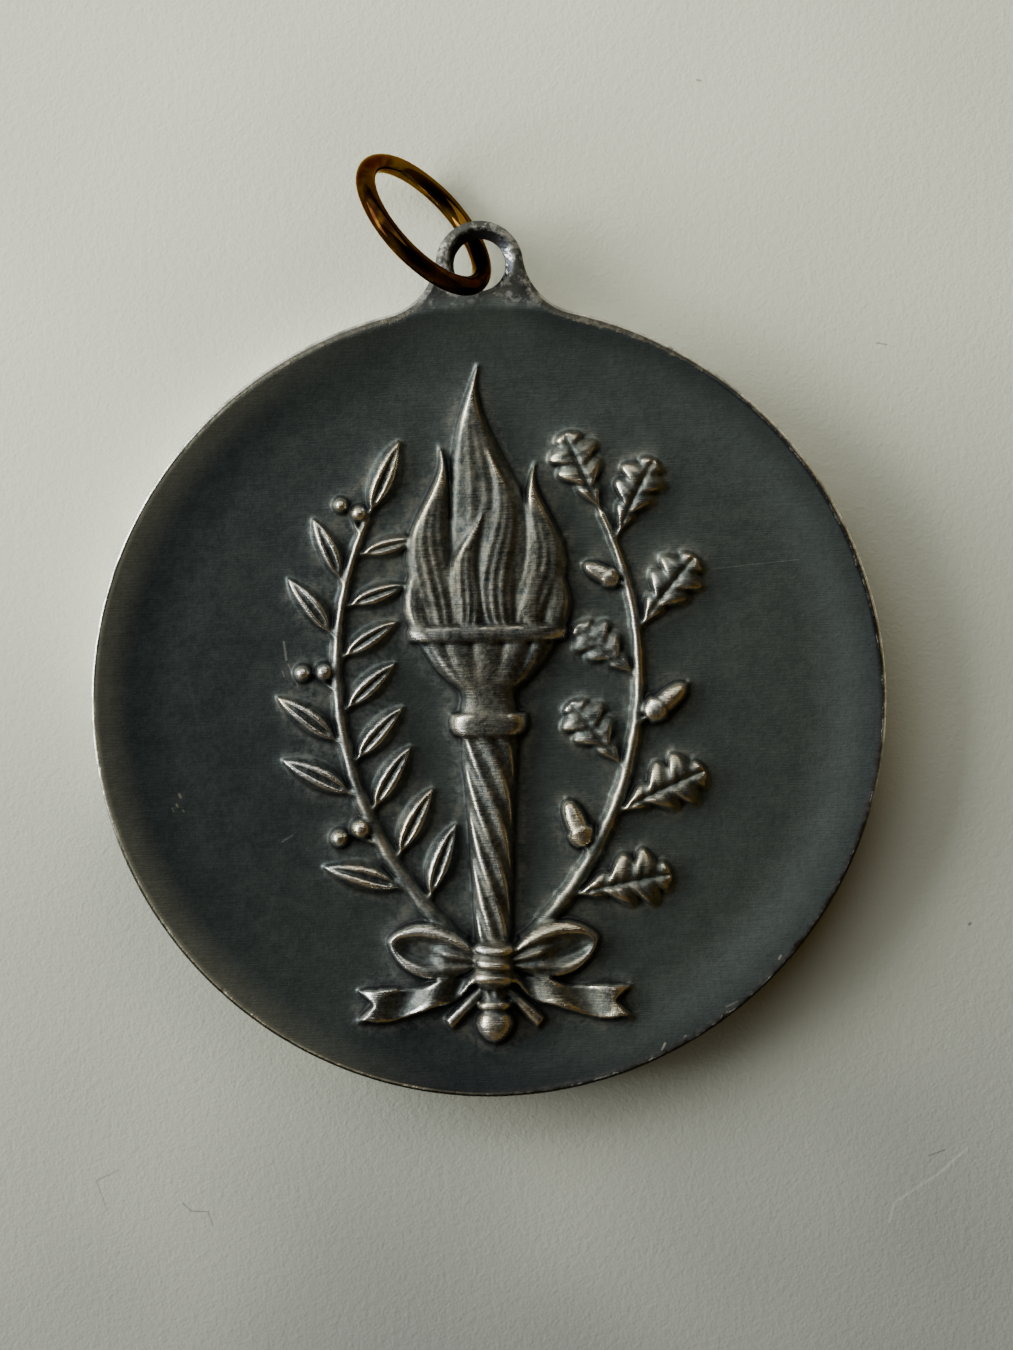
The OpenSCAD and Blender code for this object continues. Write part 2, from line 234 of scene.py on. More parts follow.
class Nodes:
    """Adds nodes to a tree."""

    def __init__(self, tree):
        self.tree = tree

    def add(self, kind, settings=None, *values, out=0, **named):
        """Makes a node of a kind, sets its settings, then the values or links of its sockets in order or by name."""
        node = self.tree.nodes.new(kind)
        for key, value in (settings or {}).items():
            setattr(node, key, value)
        for key, value in list(enumerate(values)) + [(k.replace("_", " "), v) for k, v in named.items()]:
            if value is None:
                continue
            socket = node.inputs[key]
            if isinstance(value, Value):
                self.tree.links.new(value.socket, socket)
            else:
                socket.default_value = value
        return Value(self, node.outputs[out]) if node.outputs else None

    def mix(self, factor, first, second):
        """Goes from the first colour to the second."""
        node = self.tree.nodes.new("ShaderNodeMix")
        node.data_type = "RGBA"
        for socket, value in ((node.inputs[0], factor), (node.inputs[6], first), (node.inputs[7], second)):
            if isinstance(value, Value):
                self.tree.links.new(value.socket, socket)
            else:
                socket.default_value = value if socket.type == "VALUE" else (*value[:3], 1.0)
        return Value(self, node.outputs[2])

    def noise(self, where, scale, detail=3.0, roughness=0.55, distortion=0.0):
        return self.add("ShaderNodeTexNoise", {}, Vector=where, Scale=scale, Detail=detail, Roughness=roughness,
                        Distortion=distortion)

    def stretched(self, where, scale, turn=0.0):
        """Object coordinates stretched for a pattern that runs one way."""
        return self.add("ShaderNodeMapping", {}, Vector=where, Scale=scale, Rotation=(0.0, 0.0, turn))

    def attribute(self, name):
        return self.add("ShaderNodeAttribute", {"attribute_name": name}, out=2)

    def object_place(self):
        return self.add("ShaderNodeTexCoord", {}, out=3)

    def bump(self, height, distance, strength):
        return self.add("ShaderNodeBump", {}, Strength=strength, Distance=distance, Height=height)

    def vector(self, operation, *values, out=0, **named):
        return self.add("ShaderNodeVectorMath", {"operation": operation}, *values, out=out, **named)

    def along(self, place, way):
        """How far a place lies along a direction, times the direction's length."""
        return self.vector("DOT_PRODUCT", place, way, out=1)

    def away(self, place, point):
        return self.vector("DISTANCE", place, point, out=1)


def new_material(name):
    material = bpy.data.materials.new(name)
    material.use_nodes = True
    material.node_tree.nodes.clear()
    return material, Nodes(material.node_tree)


def finish_material(material, nodes, colour, roughness, metallic, normal, **fixed):
    """Ends a material in a Principled shader; what is fixed all over is set on its sockets."""
    shader = nodes.add("ShaderNodeBsdfPrincipled", {}, Base_Color=colour, Roughness=roughness, Metallic=metallic,
                       Normal=normal, **fixed)
    nodes.add("ShaderNodeOutputMaterial", {}, Surface=shader)
    return material


def object_from(name, points, faces, material=None):
    """A new smooth-shaded mesh object at the origin."""
    mesh = bpy.data.meshes.new(name)
    mesh.from_pydata([tuple(p) for p in points], [], [tuple(f) for f in faces])
    mesh.validate()
    mesh.polygons.foreach_set("use_smooth", [True] * len(mesh.polygons))
    piece = bpy.data.objects.new(name, mesh)
    bpy.context.scene.collection.objects.link(piece)
    if material:
        mesh.materials.append(material)
    return piece


# ---- Materials

def tinted(colour, *shares):
    return tuple(c * k for c, k in zip(colour, shares))


def scratch_mask(nodes, place, lines):
    """The strength of each scratch along it and nought away from it."""
    whole = None
    flat = nodes.vector("MULTIPLY", place, (1.0, 1.0, 0.0))
    for width, strength, *line in lines:
        nearest = None
        for x1, y1, x2, y2 in list(zip(line, line[1:], line[2:], line[3:]))[::2]:
            start = Vector((x1, y1, 0.0)) * MM
            along = Vector((x2, y2, 0.0)) * MM - start
            past = nodes.vector("SUBTRACT", flat, tuple(start))
            share = nodes.along(past, tuple(along / along.length_squared)).clamp()
            away = nodes.away(past, nodes.vector("SCALE", tuple(along), Scale=share))
            nearest = away if nearest is None else nearest.math("MINIMUM", away)
        mask = (1 - nearest.between(0.0, 0.75 * width * MM)) * strength
        whole = mask if whole is None else whole.math("MAXIMUM", mask)
    return whole


def silver_material(finish):
    """Oxidised silver: dark in the field and hollows, worn bright on the high points and edges."""
    material, nodes = new_material("patinated_silver")
    place = nodes.object_place()
    height, cavity, halo, edge, brink, eyelet = (
        nodes.attribute(name) for name in ("height", "cavity", "halo", "edge", "brink", "eyelet"))
    broad = nodes.noise(place, 120.0, 2.0, 0.6).between(0.3, 0.7)
    mottle = nodes.noise(place, 850.0, 4.0, 0.7, 0.4).between(0.32, 0.68)
    fine = nodes.noise(place, 3600.0, 2.0, 0.7).between(0.3, 0.7)
    hairlines = nodes.noise(nodes.stretched(place, (900.0, 14000.0, 900.0), 0.9), 1.0, 2.0, 0.7).between(0.3, 0.7)
    grit = mottle * 0.6 + fine * 0.4
    # Wear: on what stands up and on convex edges, broken up by the grain, and thinly round the relief
    crest = cavity.between(0.055, 0.12) * height.between(0.08, 0.3)
    soft_crest = cavity.between(0.015, 0.07)
    toning_and_sky_reflection = nodes.noise(place, 420.0, 2.0, 0.6).between(0.45, 0.62)
    raised = height.between(0.15, 0.9)
    wear = (raised * (grit * 0.24 + broad * 0.1 + hairlines * 0.16 - 0.215 + soft_crest * grit * 0.15)
            + crest * (0.55 + grit * 0.75)).clamp()
    hollow = (-1 * cavity).between(0.02, 0.15) * (0.65 + mottle * 0.4)
    around = halo.between(0.004, 0.12) * (grit * 0.28 - 0.06)
    wear = (wear * height.between(0.01, 0.08)).math("MAXIMUM", around) * (1 - hollow)
    # The rubbed band round the edge and the rim of the hole, with ragged borders, and bare patches on the eyelet
    ragged = (grit - 0.5) * 0.1
    band = (edge + ragged).between(-0.03, 0.03)
    lip = nodes.attribute("lip") + ragged
    rim = lip.between(0.22, 0.36) * (1 - lip.between(0.5, 1.0))
    rubbed = band.math("MAXIMUM", rim * eyelet) * (1 - eyelet * 0.75)
    rubbed = (rubbed * (0.3 + grit * 0.9)).clamp()
    # Painted highlight: the right side of the hole's slope, which faces the window, is painted light and smoother
    painted_lit_slope = nodes.along(place, (1000.0, -150.0, 0.0)).between(-2.7, -2.2) * (1 - lip.between(0.22, 0.34))
    # Painted shade: the rest of the hole's slope is painted dark, partly as dirt in the hole
    bore_grime_and_shade = (1 - lip.between(0.2, 0.34)) * eyelet * (1 - band) * (1 - painted_lit_slope * (0.6 + grit * 0.4))
    # The eyelet's root is darkened too
    root = lip.between(0.7, 1.3) * eyelet * (1 - band) * (1 - grit * 0.45)
    # Scratches show bare silver, and so do painted highlights on the bright sides of dents
    scratches_and_dent_highlights = scratch_mask(nodes, place, FACE_SCRATCHES_AND_DENT_HIGHLIGHTS)
    bare = wear.math("MAXIMUM", scratches_and_dent_highlights * (0.35 + mottle * 0.3)).clamp()
    # The patina's tone varies at random and is darker near the bottom; painted light makes it lighter towards
    # the right of the field, below its middle and under the eyelet; near the edge a painted reflection browns it on
    # the left and painted shade darkens it on the right
    side = nodes.along(place, (28.0, 0.0, 0.0))
    down = nodes.along(place, (0.0, -1.0, 0.0))
    foot, head = (nodes.away(place, (-0.001, y, 0.0026)) for y in (-0.0185, 0.0195))
    tone_and_painted_light = (side.between(-0.8, 0.65) * 0.77 + (broad - 0.5) * 0.08 + (mottle - 0.5) * 0.07 + (fine - 0.5) * 0.1
            + down.between(0.004, 0.014) * 0.1 - (1 - foot.between(0.002, 0.009)) * 0.4
            + (1 - head.between(0.001, 0.006)) * 0.3).clamp() * (1 - eyelet * 0.8)
    patina = nodes.mix(tone_and_painted_light, finish.patina, tinted(finish.patina, 3.7, 3.4, 2.9))
    # Painted reflection and shade near the rim: brownish on the left, dark on the right
    painted_rim_light_and_shade = ((1 - brink.between(0.3, 2.2)) * 0.5 + (1 - brink.between(0.28, 0.42)) * 0.35) * (1 - eyelet)
    patina = nodes.mix(painted_rim_light_and_shade, patina, nodes.mix(side.between(-0.45, 0.0), (0.25, 0.25, 0.195), (0.02, 0.025, 0.031)))
    # Random patches on the relief's patina: warm toning, and bluish painted reflections of the sky
    patina = nodes.mix(raised * 0.75, patina, nodes.mix(toning_and_sky_reflection, (0.042, 0.038, 0.027), (0.027, 0.036, 0.044)))
    toned = nodes.mix((broad * 0.7 + mottle * 0.5).between(0.3, 0.9), finish.worn,
                      tinted(finish.worn, 1.03, 0.93, 0.74))
    base = nodes.mix(bare, patina, toned)
    base = nodes.mix(eyelet * 0.9, base, nodes.mix(grit.between(0.36, 0.8), (0.085, 0.09, 0.08), (0.5, 0.5, 0.46)))
    # Painted highlight on the lit right side of the hole's slope
    base = nodes.mix(painted_lit_slope * eyelet, base, nodes.mix(grit.between(0.45, 0.7), (0.06, 0.068, 0.08), (0.7, 0.7, 0.68)))
    # Dark patina in the hollows, painted shade on the hole's shaded slope, and the darkened root of the eyelet
    base = nodes.mix(hollow.math("MAXIMUM", bore_grime_and_shade).math("MAXIMUM", root).clamp(), base, finish.grime_and_shade)
    base = nodes.mix(rubbed, base, nodes.mix(grit.between(0.5, 0.9), finish.rubbed,
                                             tinted(finish.rubbed, 1.8, 1.8, 1.8)))
    off = 1 - eyelet
    # The wall and the back are greyer than the rubbed edge of the face
    top = nodes.along(place, (0.0, 0.0, 1.0)).between(0.0022, 0.0027)
    base = nodes.mix((1 - top) * off * 0.92, base, nodes.mix(grit, (0.05, 0.055, 0.055), (0.15, 0.153, 0.145)))
    # Lines along the edge: a dark line of painted shade below and along the left, a thin tan painted highlight on the
    # lower left, and a wide grey band on the lower right
    painted_highlight_lower_left, low_right = (nodes.along(place, (x, -0.7, 0.0)).between(0.011, 0.017) for x in (-0.7, 0.7))
    low = down.between(0.001, 0.008)
    line = (1 - low) * side.between(-0.2, -0.4) * 0.85
    thin = brink.between(0.1, 0.14) - brink.between(0.17, 0.24)
    wide = brink.between(0.1, 0.14) - brink.between(0.24, 0.45)
    base = nodes.mix(((1 - brink.between(0.1, 0.15)) * low * top * 0.9).math("MAXIMUM", thin * line) * off, base,
                     (0.022, 0.023, 0.018))
    base = nodes.mix(thin * painted_highlight_lower_left * (0.3 + grit * 0.5) * off, base, (0.5, 0.47, 0.34))
    base = nodes.mix(wide * low_right * (0.25 + grit * 0.6) * off, base, (0.15, 0.157, 0.15))
    # The very edge is polished by handling
    polished = (1 - brink.between(0.08, 0.13)) * off * (0.3 + mottle * 0.9).clamp() * (1 - low)
    base = nodes.mix(polished, base, (0.95, 0.94, 0.9))
    dull = rubbed.math("MAXIMUM", eyelet * 0.7) * (1 - polished)
    roughness = (0.45 + raised * 0.03 - crest * 0.26 + (grit - 0.5) * (0.05 + raised * 0.1 + dull * 0.1) + dull * 0.1
                 + eyelet * 0.14 + hollow * 0.12 - polished * 0.26 - painted_lit_slope * eyelet * 0.3).clamp()
    grain = (fine * (0.25 + dull * 0.5 + raised * 0.3) + hairlines * (0.25 + raised * 0.5)
             + mottle * (0.12 + 1.5 * dull + raised * 0.7))
    normal = nodes.bump(grain, 0.000018, 0.75)
    return finish_material(material, nodes, base, roughness, 0.9, normal)


def brass_material(finish):
    """Brass wire, brown with tarnish and rubbed brighter where it bears."""
    material, nodes = new_material("tarnished_brass")
    place = nodes.object_place()
    cloud = nodes.noise(place, 260.0, 4.0, 0.6, 0.5)
    speck = nodes.noise(place, 1500.0, 3.0, 0.6)
    streak = nodes.noise(nodes.stretched(place, (2600.0, 420.0, 2600.0), -0.7), 1.0, 3.0, 0.6)
    bare = (cloud.between(0.44, 0.7) * 0.85 + (speck - 0.5) * 0.5 + (streak - 0.5) * 0.5).clamp()
    base = nodes.mix(bare, finish.tarnish, finish.brass)
    roughness = (0.07 + (1 - bare) * 0.06 + (speck - 0.5) * 0.06).clamp()
    normal = nodes.bump(speck * 0.5 + streak * 0.6 + cloud * 0.5, 0.00002, 0.3)
    return finish_material(material, nodes, base, roughness, 1.0, normal, Specular_Tint=(0.7, 0.5, 0.22, 1.0))


def surface_material(finish):
    """Pale paint with a fine orange-peel texture, and painted shade that darkens it towards the bottom and the right.
    """
    material, nodes = new_material("painted_surface")
    place = nodes.object_place()
    peel = nodes.noise(place, 2600.0, 1.0, 0.5)
    fine = nodes.noise(place, 6500.0, 1.0, 0.5)
    cloud = nodes.noise(place, 38.0, 2.0, 0.5)
    # Painted shade: the paint darkens towards the bottom and the right, with a little random cloud in its tone
    shade = nodes.along(place, (-4.0, 14.0, 0.0)).between(-0.7, 0.5) * 0.8 + cloud.between(0.3, 0.7) * 0.2
    paint = nodes.mix(shade, tinted(finish.surface, 0.275, 0.28, 0.335), finish.surface)
    paint = nodes.mix((scratch_mask(nodes, place, PALE_MARKS) * 0.4).clamp(), paint, (0.9, 0.9, 0.86))
    paint = nodes.mix((scratch_mask(nodes, place, DARK_MARKS) * 0.8).clamp(), paint, (0.1, 0.1, 0.09))
    normal = nodes.bump(peel * 0.7 + fine * 0.5, 0.00005, 0.7)
    return finish_material(material, nodes, paint, 0.45 + (peel - 0.5) * 0.1, 0.0, normal)


# ---- Punches: open sheets whose height above the field, in millimetres, is what the die leaves

def sheet(rows, columns, place):
    """A grid of points over the two shares u (0 to 1) and v (-1 to 1), with its faces."""
    u, v = np.meshgrid(np.linspace(0.0, 1.0, rows), np.linspace(-1.0, 1.0, columns), indexing="ij")
    x, y, z = place(u, v)
    points = np.stack([x, y, z], axis=-1).reshape(-1, 3)
    a = (np.arange(rows - 1)[:, None] * columns + np.arange(columns - 1)[None, :]).ravel()
    return points, np.stack([a, a + columns, a + columns + 1, a + 1], axis=1)


def groove(distance, width):
    return np.exp(-(distance / width) ** 2)


def stalk(rows, half, foot, reach, rise, share=0.55, drop=0.2, lean=0.0, taper=0.0):
    """A short straight strip, arched across."""
    def place(u, v):
        return half * v * (1 - taper * u) + lean * u, foot + reach * u, rise * (share - drop * v * v)
    return sheet(rows, 5, place)


def laurel_leaf(length, half, rise, bend):
    def place(u, v):
        side = half * np.sin(np.pi * u ** 0.82) ** 0.9
        wave = 1.0 + 0.06 * np.sin(7 * u + 1.5 * v)
        x = bend * u * u + side * v * wave
        y = LEAF_GAP + length * (u + 0.05 * np.abs(v) ** 1.5 * np.sin(np.pi * u))
        body = (1 - np.abs(v) ** 2.6 * 0.78) * (0.84 + 0.16 * np.cos(2 * np.pi * (np.abs(v) - 0.45)))
        vein = groove(v, 0.13) * (0.38 - 0.2 * u)
        side_vein = 0.07 * (0.5 + 0.5 * np.cos(2 * np.pi * (7 * u - 1.7 * np.abs(v)))) ** 3 * np.sin(np.pi * u)
        arch = 0.55 + 0.45 * np.sin(np.pi * np.clip(0.08 + 0.95 * u, 0, 1))
        z = rise * (arch * (body - vein - side_vein) + 0.1 * v)
        return x, y, z
    return joined([sheet(44, 25, place), stalk(8, 0.13, 0.1, LEAF_GAP + 0.35, rise)])


def oak_leaf(length, half, rise, bend):
    """An oak leaf with rounded lobes, swept forward, and a vein to each lobe."""
    def place(u, v):
        away = np.abs(v)
        turn = 3.5 * u + 0.15 + 0.1 * np.sign(v)
        lobe = np.abs(np.sin(np.pi * turn))
        hull = np.sin(np.pi * np.clip(0.03 + 0.95 * u, 0, 1) ** 1.3) ** 0.7
        side = half * hull * (0.5 + 0.5 * lobe ** 0.75)
        x = bend * u * u + side * v
        y = LEAF_GAP + length * (0.97 * u + 0.15 * away ** 1.4 * np.sin(np.pi * u) ** 0.6 * (1 - 0.6 * u))
        body = (1 - away ** 2.8 * 0.68) * (0.74 + 0.26 * lobe * (0.4 + 0.6 * np.sin(np.pi * away ** 0.8)))
        veins = 0.3 * groove(v, 0.09) + 0.16 * groove(np.mod(turn, 1) - 0.5, 0.09) * (1 - 0.6 * away)
        arch = 0.6 + 0.4 * np.sin(np.pi * np.clip(0.1 + 0.85 * u, 0, 1))
        z = rise * (arch * (body - veins) - 0.09 * v + 0.06 * lobe * away)
        return x, y, z
    return joined([sheet(90, 33, place), stalk(8, 0.13, 0.1, LEAF_GAP + 0.35, rise)])


def dome(cx, cy, r, rise):
    """A dome, laid out from its middle."""
    def place(u, v):
        a = np.pi * v
        return cx + r * u * np.sin(a), cy + r * u * np.cos(a), rise * (1 - u ** 2.4 * 0.8) ** (1 / 1.6)
    return sheet(14, 33, place)


def berries(rise):
    """Two berries on a short stalk, each with a small point."""
    parts = [stalk(8, 0.1, 0.3, 1.6, rise, drop=0.15, lean=0.12)]
    for x, y, r in ((-0.35, LEAF_GAP + 0.75, 0.55), (0.6, LEAF_GAP + 1.55, 0.5)):
        parts += [dome(x, y, r, rise * 1.12), dome(x + 0.05, y + 0.25 * r, 0.13, rise * 1.2)]
    return joined(parts)


def acorn(rise):
    """An acorn in its scaled cup, with its stalk and point."""
    def nut(u, v):
        half = 0.62 * np.sqrt(np.clip(1 - u ** 3.2, 0, 1)) + 0.02
        round_over = np.sqrt(np.clip(1 - 0.93 * v * v, 0, 1))
        return half * v, LEAF_GAP + 0.9 + 1.95 * u, rise * (0.25 + 0.85 * round_over * (half / 0.64) ** 0.6)

    def cup(u, v):
        half = 0.78 * np.sin(np.pi * (0.12 + 0.46 * u)) ** 0.6
        y = LEAF_GAP + 0.05 + 1.05 * u - 0.12 * v * v * u
        scales = 0.07 * np.cos(2 * np.pi * (4 * u + 2.2 * v)) * np.cos(2 * np.pi * (4 * u - 2.2 * v))
        round_over = np.sqrt(np.clip(1 - 0.9 * v * v, 0, 1))
        return half * v, y, rise * (0.25 + 1.0 * round_over * (0.75 + 0.25 * u) + scales)

    return joined([sheet(24, 21, nut), sheet(30, 31, cup), stalk(6, 0.13, 0.1, 0.8, rise, share=0.6),
                   stalk(6, 0.1, LEAF_GAP + 2.75, 0.3, rise, taper=1.0)])


def joined(parts):
    """Several sheets as one."""
    points, faces, start = [], [], 0
    for p, f in parts:
        points.append(p)
        faces.append(f + start)
        start += len(p)
    return np.concatenate(points), np.concatenate(faces)


def stem(side, rise):
    def place(u, v):
        a = np.radians(STEM_FROM + (STEM_TO - STEM_FROM) * u)
        knots = 1 + 0.18 * np.cos(2 * np.pi * 8 * u) ** 8
        half = (0.42 - 0.22 * u) * knots
        x = side * (ARC_X + (ARC_R + half * v) * np.cos(a))
        return x, ARC_Y + (ARC_R + half * v) * np.sin(a), rise * (1 - 0.25 * u) * (1 - 0.55 * v * v)

    def stub(u, v):
        x = -side * (0.6 + 1.75 * u + 0.2 * v)
        y = -14.55 - 1.75 * u + 0.42 * v * (0.8 + 0.3 * u) * 0.6
        return x, y, rise * (0.95 - 0.4 * v * v)

    return joined([sheet(160, 9, place), sheet(12, 9, stub)])


def torch(rise):
    def place(u, v):
        y = TORCH[0, 0] + (TORCH[-1, 0] - TORCH[0, 0]) * u
        half, share = (np.interp(y, TORCH[:, 0], column) for column in TORCH.T[1:])
        around = np.arcsin(np.clip(v, -1, 1)) / np.pi
        shaft = (y > -14.9) & (y < -1.8)
        bowl = (y > 0.7) & (y < 3.0)
        twist = np.cos(2 * np.pi * (4 * around + 0.42 * y))
        gadroon = np.abs(np.cos(np.pi * 7 * around))
        cut = np.where(shaft, 0.1 * (1 - twist), 0) + np.where(bowl, 0.3 * (1 - gadroon ** 0.6) * (y - 0.7) / 2.3, 0)
        round_over = np.clip(1 - np.abs(v) ** 2.5 * 0.96, 0, 1) ** (1 / 2.2)
        return half * v, y, rise * share * (round_over - cut)
    return sheet(420, 61, place)


def flame(foot_x, foot_y, length, lean, sway, half, rise, turn):
    def place(u, v):
        belly = np.sin(np.pi * np.clip(u * 0.8 + 0.2, 0, 1)) ** 0.8 * (1 - u) ** 0.35
        side = half * belly * (1 - u ** 6)
        centre = foot_x + lean * u + sway * np.sin(1.9 * np.pi * u + turn) * u ** 0.8
        x = centre + side * v
        y = foot_y + length * u - 0.35 * half * v * v * (1 - u)
        ridge = 1 - np.abs(v) ** 3.0 * 0.62
        fold = np.pi * 5 * v + 2.2 * np.sin(1.9 * np.pi * u + turn)
        lick = 0.12 * (1 - 2 * np.abs(np.sin(fold / 2)) ** 0.8) * (1 - np.abs(v)) ** 0.5
        return x, y, rise * ((ridge + lick * (1 - 0.5 * u)) * (1 - 0.3 * u) - 0.05 * v)
    return sheet(90, 41, place)


def bow_loop(side, rise):
    """One loop of the bow, seen a little from its open side."""
    turn = math.radians(-76)

    def turned(along, across):
        x = 0.75 - math.sin(turn) * along + math.cos(turn) * across
        y = -13.15 + math.cos(turn) * along + math.sin(turn) * across
        return side * x, y

    def loop(share, v):
        u = np.sin(np.pi / 2 * share)
        half = 0.24 * (1 - u) + 1.3 * np.sin(np.pi * u ** 1.2) ** 0.62
        x, y = turned(4.7 * u, half * v)
        folds = 0.16 * np.cos(np.pi * 3.5 * v + 0.6) * (1 - u) ** 0.8
        opening = 0.62 * np.exp(-((u - 0.66) / 0.24) ** 4 - ((v - 0.12) / 0.5) ** 4)
        lining = 0.1 * np.cos(np.pi * (5 * v + 1.5 * u)) * opening
        brim = 0.14 * groove(np.abs(v) - 0.78, 0.2) * np.sin(np.pi * u)
        z = rise * (0.6 + 0.46 * np.sin(np.pi * (0.12 + 0.8 * u)) * np.cos(v * 1.2) + folds + brim - opening
                    + lining - 0.1 * v)
        return x, y, z

    return sheet(70, 41, loop)


def tail(side, rise):
    """One tail of the ribbon, waved and cut to a fork."""
    def place(u, v):
        reach = u * (1 - 0.13 * (1 - np.abs(v)))
        n = len(TAIL) - 1
        x, y, half = (np.interp(reach * n, np.arange(n + 1), column) for column in TAIL.T)
        fold = np.cos(2 * np.pi * (2.3 * reach + 0.12 * v))
        y = y + half * v + 0.12 * fold
        z = rise * (0.62 + 0.3 * fold + 0.12 * np.abs(v) ** 4 - 0.08 * v)
        return side * x, y, z
    return sheet(90, 19, place)


def knot(rise):
    def place(u, v):
        half = 1.2 * (1 - 0.16 * np.cos(2 * np.pi * (u - 0.5))) * np.sin(np.pi * (0.05 + 0.9 * u)) ** 0.3
        x = half * v
        y = -14.5 + 2.5 * u + 0.12 * v * v * (1 - 2 * u)
        folds = 0.09 * np.cos(np.pi * 7 * (u - 0.5) * (1 - 0.25 * v * v) + 0.9 * v)
        arch = np.sin(np.pi * (0.1 + 0.8 * u)) ** 0.4
        return x, y, rise * (0.22 + 0.92 * np.clip(1 - 0.94 * v * v, 0, 1) ** 0.5 * arch + folds)
    return sheet(60, 33, place)


def new_tree(name, kinds):
    """A tree for geometry with named inputs: the tree, its nodes, its inputs' sockets and what they give."""
    tree = bpy.data.node_groups.new(name, "GeometryNodeTree")
    tree.interface.new_socket("Geometry", in_out="OUTPUT", socket_type="NodeSocketGeometry")
    sockets = {n: tree.interface.new_socket(n, in_out="INPUT", socket_type="NodeSocket" + kind)
               for n, kind in kinds.items()}
    nodes = Nodes(tree)
    group = tree.nodes.new("NodeGroupInput")
    return tree, nodes, sockets, {n: Value(nodes, group.outputs[n]) for n in kinds}


def end_tree(tree, nodes, shape, metal):
    real = nodes.add("GeometryNodeRealizeInstances", {}, shape)
    done = nodes.add("GeometryNodeSetMaterial", {}, Geometry=real, Material=metal)
    out = tree.nodes.new("NodeGroupOutput")
    tree.links.new(done.socket, out.inputs[0])


def grown(tree, sockets, inputs):
    """The mesh that a tree makes from its inputs."""
    carrier = object_from("carrier", [(0, 0, 0)], [])
    modifier = carrier.modifiers.new("tree", "NODES")
    modifier.node_group = tree
    for name, value in inputs.items():
        modifier[sockets[name].identifier] = value
    evaluated = carrier.evaluated_get(bpy.context.evaluated_depsgraph_get())
    mesh = bpy.data.meshes.new_from_object(evaluated)
    carrier.modifiers.remove(modifier)
    bpy.data.objects.remove(carrier)
    return mesh


def quads_of(mesh):
    """A mesh of four-sided faces as points and faces."""
    points = np.empty(len(mesh.vertices) * 3)
    mesh.vertices.foreach_get("co", points)
    faces = np.empty(len(mesh.polygons) * 4, dtype=int)
    mesh.polygons.foreach_get("vertices", faces)
    return points.reshape(-1, 3), faces.reshape(-1, 4)


def leaf_row_tree():
    """A row of leaves along an arc, with a fruit in place of some of them."""
    kinds = {"Leaf": "Object", "Fruit": "Object", "Metal": "Material", "Count": "Int", "Fruit every": "Int",
             "Fruit at": "Int"}
    kinds |= dict.fromkeys(("From", "To", "Centre x", "Centre y", "Radius", "Turn", "First size", "Last size",
                            "Mirror", "Unevenness"), "Float")
    tree, nodes, sockets, given = new_tree("leaf_row", kinds)
    index = nodes.add("GeometryNodeInputIndex")
    share = index / (given["Count"] - 1).math("MAXIMUM", 1.0)
    angle = given["From"] + (given["To"] - given["From"]) * share
    x = (given["Centre x"] + given["Radius"] * angle.math("COSINE")) * given["Mirror"]
    y = given["Centre y"] + given["Radius"] * angle.math("SINE")
    size = given["First size"] + (given["Last size"] - given["First size"]) * share
    line = nodes.add("GeometryNodeMeshLine", {}, Count=given["Count"])
    points = nodes.add("GeometryNodeSetPosition", {}, Geometry=line,
                       Position=nodes.add("ShaderNodeCombineXYZ", {}, x, y, 0.0))
    lean, sway = (nodes.add("FunctionNodeRandomValue", {"data_type": "FLOAT"}, None, None, -1.0, 1.0, Seed=seed,
                            out=1) * given["Unevenness"] for seed in (7, 21))
    turn = nodes.add("ShaderNodeCombineXYZ", {}, 0.0, lean, (angle + given["Turn"] + sway) * given["Mirror"])
    scale = nodes.add("ShaderNodeCombineXYZ", {}, size * given["Mirror"], size, size)
    is_fruit = (index.math("MODULO", given["Fruit every"]) - given["Fruit at"]).math("COMPARE", 0.0, 0.5)
    join = tree.nodes.new("GeometryNodeJoinGeometry")
    for name, chosen in (("Leaf", 1 - is_fruit), ("Fruit", is_fruit)):
        shape = nodes.add("GeometryNodeObjectInfo", {}, Object=given[name], out=4)
        row = nodes.add("GeometryNodeInstanceOnPoints", {}, Points=points, Selection=chosen, Instance=shape,
                        Rotation=turn, Scale=scale)
        tree.links.new(row.socket, join.inputs[0])
    end_tree(tree, nodes, Value(nodes, join.outputs[0]), given["Metal"])
    return tree, sockets


# ---- The struck face

PITCH = 0.05
REACH = 18.6
# How far the countersink's outer circle lies to the right of the hole and above it, in millimetres
LIP_SHIFT = (0.09, 0.2)
# Points of the face that lie closer together than this fall into one, in millimetres
CLOSEST = 0.012


